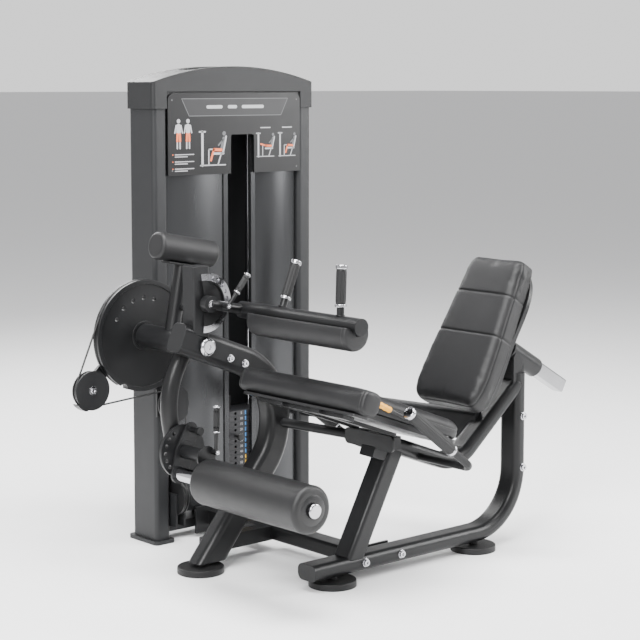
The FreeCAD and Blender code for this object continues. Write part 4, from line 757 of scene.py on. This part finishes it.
def pivot_bolts():
    """Chrome bolt heads on the pivots that face the user."""
    out = -ACROSS
    heads = (
        ("thigh_pivot_bolt", "thigh_arm", Vector((THIGH_HUB_X, -0.074, THIGH_HUB_Z)), 0.008),
        ("idler_bolt", "frame", Vector((-0.201, 0.280, 0.553)), 0.009),
        ("start_lever_bolt", "start_lever", START_PIVOT + out * 0.026, 0.0045),
        ("roll_lever_bolt", "roll_lever", ROLL_PIVOT + out * 0.022, 0.0045),
        ("thigh_lever_bolt", "thigh_lever", THIGH_PIVOT + out * 0.024, 0.0045),
    )
    for name, body, at, radius in heads:
        grid = bmesh.new()
        bolt_head(grid, at, out, radius)
        settle(piece_of(name, grid, CHROME, smooth=False), body)


def side_grips():
    """Ribbed sleeves with chrome collars and caps over the seat's side handles."""
    handle_out = 0.262
    for side, word in ((-1, "near"), (1, "far")):
        corner = Vector((0.540, SEAT_Y + side * handle_out, 0.352))
        tip = Vector((0.272, SEAT_Y + side * handle_out, 0.556))
        way = (tip - corner).normalized()
        grid = bmesh.new()
        fluted_grip(grid, corner + way * 0.1175, way, 0.0192, 0.206, 16)
        lathe(grid, corner + way * 0.108, way, rounded_profile(0.0192, 0.010, 0.003), mat=1)
        lathe(grid, corner + way * 0.3235, way, rounded_profile(0.0204, 0.0155, 0.005), mat=1)
        settle(piece_of("side_grip_" + word, grid, (RUBBER, CHROME)), "frame")


def release_grip():
    """The yellow grip, with four shallow waists, on its black rod and hub."""
    pivot = Vector((0.472, -0.592, 0.443))
    rise = math.radians(27)
    way = Vector((-math.cos(rise), 0, math.sin(rise)))
    grid = bmesh.new()
    profile = [(0, 0), (0.006, 0), (0.0085, 0.002)]
    for k in range(17):
        t = k / 16
        profile.append((0.0094 - 0.0012 * math.sin(math.pi * 4 * t) ** 2, 0.004 + 0.078 * t))
    profile += [(0.0085, 0.0855), (0.005, 0.0878), (0, 0.088)]
    lathe(grid, pivot + way * 0.258, way, profile, mat=1)
    lathe(grid, pivot, way, rounded_profile(0.005, 0.259, 0.001), 24, mat=0)
    hub = [(0.0052, 0), (0.0105, 0), (0.011, 0.0006), (0.011, 0.0094), (0.0105, 0.01), (0.0052, 0.01),
           (0.0052, 0)]
    lathe(grid, pivot - ACROSS * 0.005, ACROSS, hub, 32, mat=0)
    made = settle(piece_of("release_handle", grid, (BLACK, YELLOW)), "release_lever")
    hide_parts("release_lever")


# ---------------------------------------------------------------- tower details

PALE, ORANGE, GREY, BAND = range(4)
PRINT_LOOKS = (WHITE_INK, ORANGE_INK, GREY_INK, BAND_INK)


def bar_plate(grid, left, right, low, high, y, deep=0.0004, mat=0):
    """A thin printed rectangle that faces -Y."""
    front = [(left, low), (right, low), (right, high), (left, high)]
    rows = [[grid.verts.new((x, yy, z)) for x, z in front] for yy in (y - deep, y)]
    for corners in (rows[0], [rows[0][k] for k in (0, 1)] + [rows[1][k] for k in (1, 0)],
                    [rows[0][k] for k in (2, 3)] + [rows[1][k] for k in (3, 2)]):
        grid.faces.new(corners).material_index = mat


def stroke(grid, a, b, wide, y, mat=0, deep=0.0004):
    """A printed limb: a round-ended line from a to b, as (x, z)."""
    a, b = Vector(a), Vector(b)
    ahead = (b - a).normalized() if (b - a).length > 1e-6 else Vector((1, 0))
    turn = math.atan2(ahead.y, ahead.x)
    ring = []
    for k in range(9):
        t = turn - math.pi / 2 + math.pi * k / 8
        ring.append(b + Vector((math.cos(t), math.sin(t))) * wide / 2)
    for k in range(9):
        t = turn + math.pi / 2 + math.pi * k / 8
        ring.append(a + Vector((math.cos(t), math.sin(t))) * wide / 2)
    grid.faces.new([grid.verts.new((p.x, y - deep, p.y)) for p in ring]).material_index = mat


def little_machine(grid, x, z, size, y, bent):
    """A pictogram of the machine and its user, with the working leg in orange."""
    def at(u, v):
        return (x + u * size, z + v * size)

    lines = [((-0.9, -1.0), (0.9, -1.0), 0.07), ((-0.75, -1.0), (-0.75, 0.9), 0.16),
             ((-0.95, 0.9), (-0.55, 0.9), 0.1), ((0.35, -1.0), (0.6, -0.35), 0.09),
             ((0.0, -0.35), (0.75, -0.35), 0.13), ((0.72, -0.3), (0.95, 0.6), 0.13),
             ((-0.3, -0.1), (0.1, -0.1), 0.08), ((-0.3, -0.1), (-0.3, -1.0), 0.08)]
    for a, b, wide in lines:
        stroke(grid, at(*a), at(*b), wide * size, y, mat=PALE)
    for a, b, wide in (((0.62, -0.12), (0.78, 0.5), 0.2), ((0.72, 0.42), (0.4, 0.12), 0.1)):
        stroke(grid, at(*a), at(*b), wide * size, y, mat=GREY, deep=0.0006)
    stroke(grid, at(0.80, 0.78), at(0.81, 0.79), 0.24 * size, y, mat=GREY, deep=0.0006)
    stroke(grid, at(0.6, -0.15), at(0.05, -0.12), 0.17 * size, y, mat=ORANGE, deep=0.0007)
    foot = at(-0.15, -0.72) if bent else at(-0.5, 0.02)
    stroke(grid, at(0.05, -0.12), foot, 0.14 * size, y, mat=ORANGE, deep=0.0007)


def placard_print():
    """Generic pictograms: a title band, two figures, and the machine in use."""
    low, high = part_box("placard")
    y = low.y - 0.0001
    left, right, top = low.x, high.x, high.z
    middle = (left + right) / 2
    grid = bmesh.new()
    band = [(left + 0.055, top - 0.018), (right - 0.055, top - 0.018), (right - 0.085, top - 0.074),
            (left + 0.085, top - 0.074)]
    grid.faces.new([grid.verts.new((x, y - 0.0003, z)) for x, z in band]).material_index = BAND
    for a, b in zip(band, band[1:] + band[:1]):
        stroke(grid, a, b, 0.0022, y, mat=GREY, deep=0.0005)
    for k, half in ((-1.5, 0.028), (-0.25, 0.014), (1.2, 0.042)):
        bar = middle + k * 0.06
        stroke(grid, (bar - half, top - 0.045), (bar + half, top - 0.045), 0.011, y, deep=0.0006)
    for x in (left + 0.042, left + 0.080):
        z = top - 0.132
        stroke(grid, (x, z + 0.042), (x + 0.0001, z + 0.042), 0.014, y)
        stroke(grid, (x, z + 0.024), (x, z + 0.008), 0.019, y, deep=0.0005)
        for side in (-1, 1):
            stroke(grid, (x + side * 0.010, z + 0.028), (x + side * 0.015, z + 0.004), 0.0045, y)
            stroke(grid, (x + side * 0.0045, z), (x + side * 0.0055, z - 0.022), 0.0085, y, mat=ORANGE,
                   deep=0.0007)
            stroke(grid, (x + side * 0.0055, z - 0.024), (x + side * 0.0055, z - 0.046), 0.0055, y)
    little_machine(grid, left + 0.182, top - 0.178, 0.058, y, True)
    for row in range(3):
        z = top - 0.200 - row * 0.023
        for line in range(2):
            foot = z - line * 0.007
            bar_plate(grid, left + 0.026, left + 0.104 - 0.026 * line, foot, foot + 0.003, y)
        stroke(grid, (left + 0.018, z + 0.0015), (left + 0.0181, z + 0.0015), 0.004, y, mat=ORANGE)
    for x, bent in ((right - 0.153, False), (right - 0.058, True)):
        little_machine(grid, x, top - 0.172, 0.041, y, bent)
        bar_plate(grid, x - 0.022, x + 0.022, top - 0.118, top - 0.1145, y)
    for x in (left + 0.016, right - 0.016):
        for z in (top - 0.022, low.z + 0.016):
            stroke(grid, (x, z), (x + 0.0001, z), 0.005, y, mat=GREY)
    settle(piece_of("placard_pictograms", grid, PRINT_LOOKS, smooth=False), "frame")


def plate_marks(name, node, count, body, first):
    """A dash and a number on the front of each stack plate: blue dashes on the upper ones, yellow below."""
    low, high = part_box(node)
    pitch, half_plate, last_blue, step_kg = 0.019, 0.009, 8, 5
    dash_left, dash_right, dash_half, number_x = 0.4775, 0.4825, 0.0065, 0.462
    grid = bmesh.new()
    for k in range(count):
        z = high.z - half_plate - k * pitch
        bar_plate(grid, dash_left, dash_right, z - dash_half, z + dash_half, low.y,
                  mat=0 if first + k <= last_blue else 1)
    settle(piece_of(name, grid, (BLUE_INK, YELLOW_INK), smooth=False), body)
    for k in range(count):
        text = bpy.data.curves.new("%s_number_%d" % (name, k + 1), "FONT")
        text.body = str((first + k) * step_kg)
        text.size = 0.012
        text.align_x = text.align_y = "CENTER"
        text.extrude = 0.0002
        number = bpy.data.objects.new(text.name, text)
        SCENE.collection.objects.link(number)
        place = Matrix.Translation((number_x, low.y - 0.0003, high.z - half_plate - k * pitch))
        number.matrix_world = place @ Matrix.Rotation(math.pi / 2, 4, "X")
        text.materials.append(WHITE_INK)
        settle(number, body)


def lift_rod():
    """The cable above the stack, with a mesh of its own."""
    low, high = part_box("lift_cable")
    centre = (low + high) / 2
    radius = (high.x - low.x) / 2
    grid = bmesh.new()
    steps = 120
    length = high.z - low.z
    profile = [(0, 0)] + [(radius * (0.93 + 0.07 * (k % 2)), length * k / steps) for k in range(steps + 1)]
    lathe(grid, Vector((centre.x, centre.y, low.z)), Vector((0, 0, 1)), profile + [(0, length)], 16)
    cable = settle(piece_of("stack_cable", grid, CABLE), "frame")
    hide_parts("lift_cable")
    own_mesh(cable)


def weld(grid, centre, way, radius, bead):
    """A rippled weld bead round a tube's foot."""
    turn = basis(way)
    steps = max(36, int(radius * 1600))
    points = [centre + turn @ Vector((radius * math.cos(2 * math.pi * k / steps),
                                      radius * math.sin(2 * math.pi * k / steps), 0))
              for k in range(steps)]
    rings = []
    for k, p in enumerate(points):
        wide = bead * (1 + 0.18 * (k % 2))
        out = (p - centre).normalized()
        ahead = (points[(k + 1) % steps] - points[k - 1]).normalized()
        up = ahead.cross(out)
        rings.append([grid.verts.new(p + (out * math.cos(t) + up * math.sin(t)) * wide)
                      for t in (2 * math.pi * j / 6 for j in range(6))])
    for k in range(steps):
        a, b = rings[k], rings[(k + 1) % steps]
        for j in range(6):
            grid.faces.new((a[j], a[(j + 1) % 6], b[(j + 1) % 6], b[j]))


def welds():
    """The beads where the thigh handles meet their tube."""
    grid = bmesh.new()
    for y, tilt in THIGH_HANDLES:
        way = tilted(tilt)
        weld(grid, Vector((THIGH_TUBE_X, y, THIGH_TUBE_Z)) + way * 0.0262, way, 0.0122, 0.0016)
    settle(piece_of("thigh_arm_welds", grid, PAINT), "thigh_arm")


# ---------------------------------------------------------------- make it all

knee_roll()
seat_cushion()
back_cushion()
thigh_pad()
ankle_roll()
thigh_handles()
for lever, pivot, lean, reach, grip_long, hub_long in (
        ("start_lever", START_PIVOT, 14, 0.062, 0.066, 0.026),
        ("roll_lever", ROLL_PIVOT, 1, 0.066, 0.070, 0.022),
        ("thigh_lever", THIGH_PIVOT, 40, 0.056, 0.058, 0.024)):
    hand_lever(lever + "_hand", lever, lever, pivot, tilted(lean), reach, grip_long, hub_long)
pivot_bolts()
side_grips()
release_grip()
placard_print()
plate_marks("marks_lifted", "lifted_plates", 5, "lifted_stack", 1)
plate_marks("marks_resting", "resting_plates", 11, "frame", 6)
lift_rod()
welds()

# ---------------------------------------------------------------- studio

floor_grid = bmesh.new()
bmesh.ops.create_grid(floor_grid, x_segments=4, y_segments=4, size=300)
floor = piece_of("studio_floor_plane", floor_grid, FLOOR)
floor.location.z = -0.0005

world = bpy.data.worlds.new("studio")
SCENE.world = world
world.use_nodes = True
sky = world.node_tree
sky_way = sky.nodes.new("ShaderNodeTexCoord")
sky_split = sky.nodes.new("ShaderNodeSeparateXYZ")
sky_fade = sky.nodes.new("ShaderNodeValToRGB")
sky_fade.color_ramp.elements[0].position = 0.2
sky_fade.color_ramp.elements[0].color = (1, 1, 1, 1)
sky_fade.color_ramp.elements[1].position = 0.62
sky_fade.color_ramp.elements[1].color = (0.40, 0.40, 0.41, 1)
sky.links.new(sky_way.outputs["Generated"], sky_split.inputs["Vector"])
sky.links.new(sky_split.outputs["Z"], sky_fade.inputs["Fac"])
sky.links.new(sky_fade.outputs["Color"], sky.nodes["Background"].inputs["Color"])
sky.nodes["Background"].inputs["Strength"].default_value = 1.25

TARGET = Vector((0.45, -0.12, 0.75))


def softbox(name, at, energy, wide, high):
    """A soft area light that faces the machine."""
    lamp = bpy.data.lights.new(name, "AREA")
    lamp.shape = "RECTANGLE"
    lamp.size, lamp.size_y = wide, high
    lamp.energy = energy
    holder = bpy.data.objects.new(name, lamp)
    SCENE.collection.objects.link(holder)
    holder.location = at
    holder.rotation_euler = (TARGET - Vector(at)).to_track_quat("-Z", "Y").to_euler()


softbox("key", (-3.2, -2.2, 3.4), 360, 1.6, 2.6)
softbox("top", (0.2, -0.6, 4.4), 420, 3.0, 2.0)
softbox("side", (3.6, -2.6, 2.4), 240, 1.2, 2.8)
softbox("rim", (0.6, 3.6, 3.2), 220, 3.0, 1.4)

CAMERA_AT = Vector((-3.19695, -4.185, 1.500))
FORWARD = Vector((0.6612, 0.7502, 0))
LENS, SENSOR = 97.75, 36
HORIZON = 0.36796875  # the horizon's height over the picture's middle, as a share of its side
SHIFT = -0.10
PITCH = math.atan((HORIZON + SHIFT) * SENSOR / LENS)
camera = bpy.data.cameras.new("photo_view")
camera.lens = LENS
camera.sensor_width = SENSOR
camera.shift_y = SHIFT
viewer = bpy.data.objects.new("photo_view", camera)
SCENE.collection.objects.link(viewer)
viewer.location = CAMERA_AT
down = FORWARD * math.cos(PITCH) - Vector((0, 0, math.sin(PITCH)))
viewer.rotation_euler = down.to_track_quat("-Z", "Y").to_euler()
SCENE.camera = viewer

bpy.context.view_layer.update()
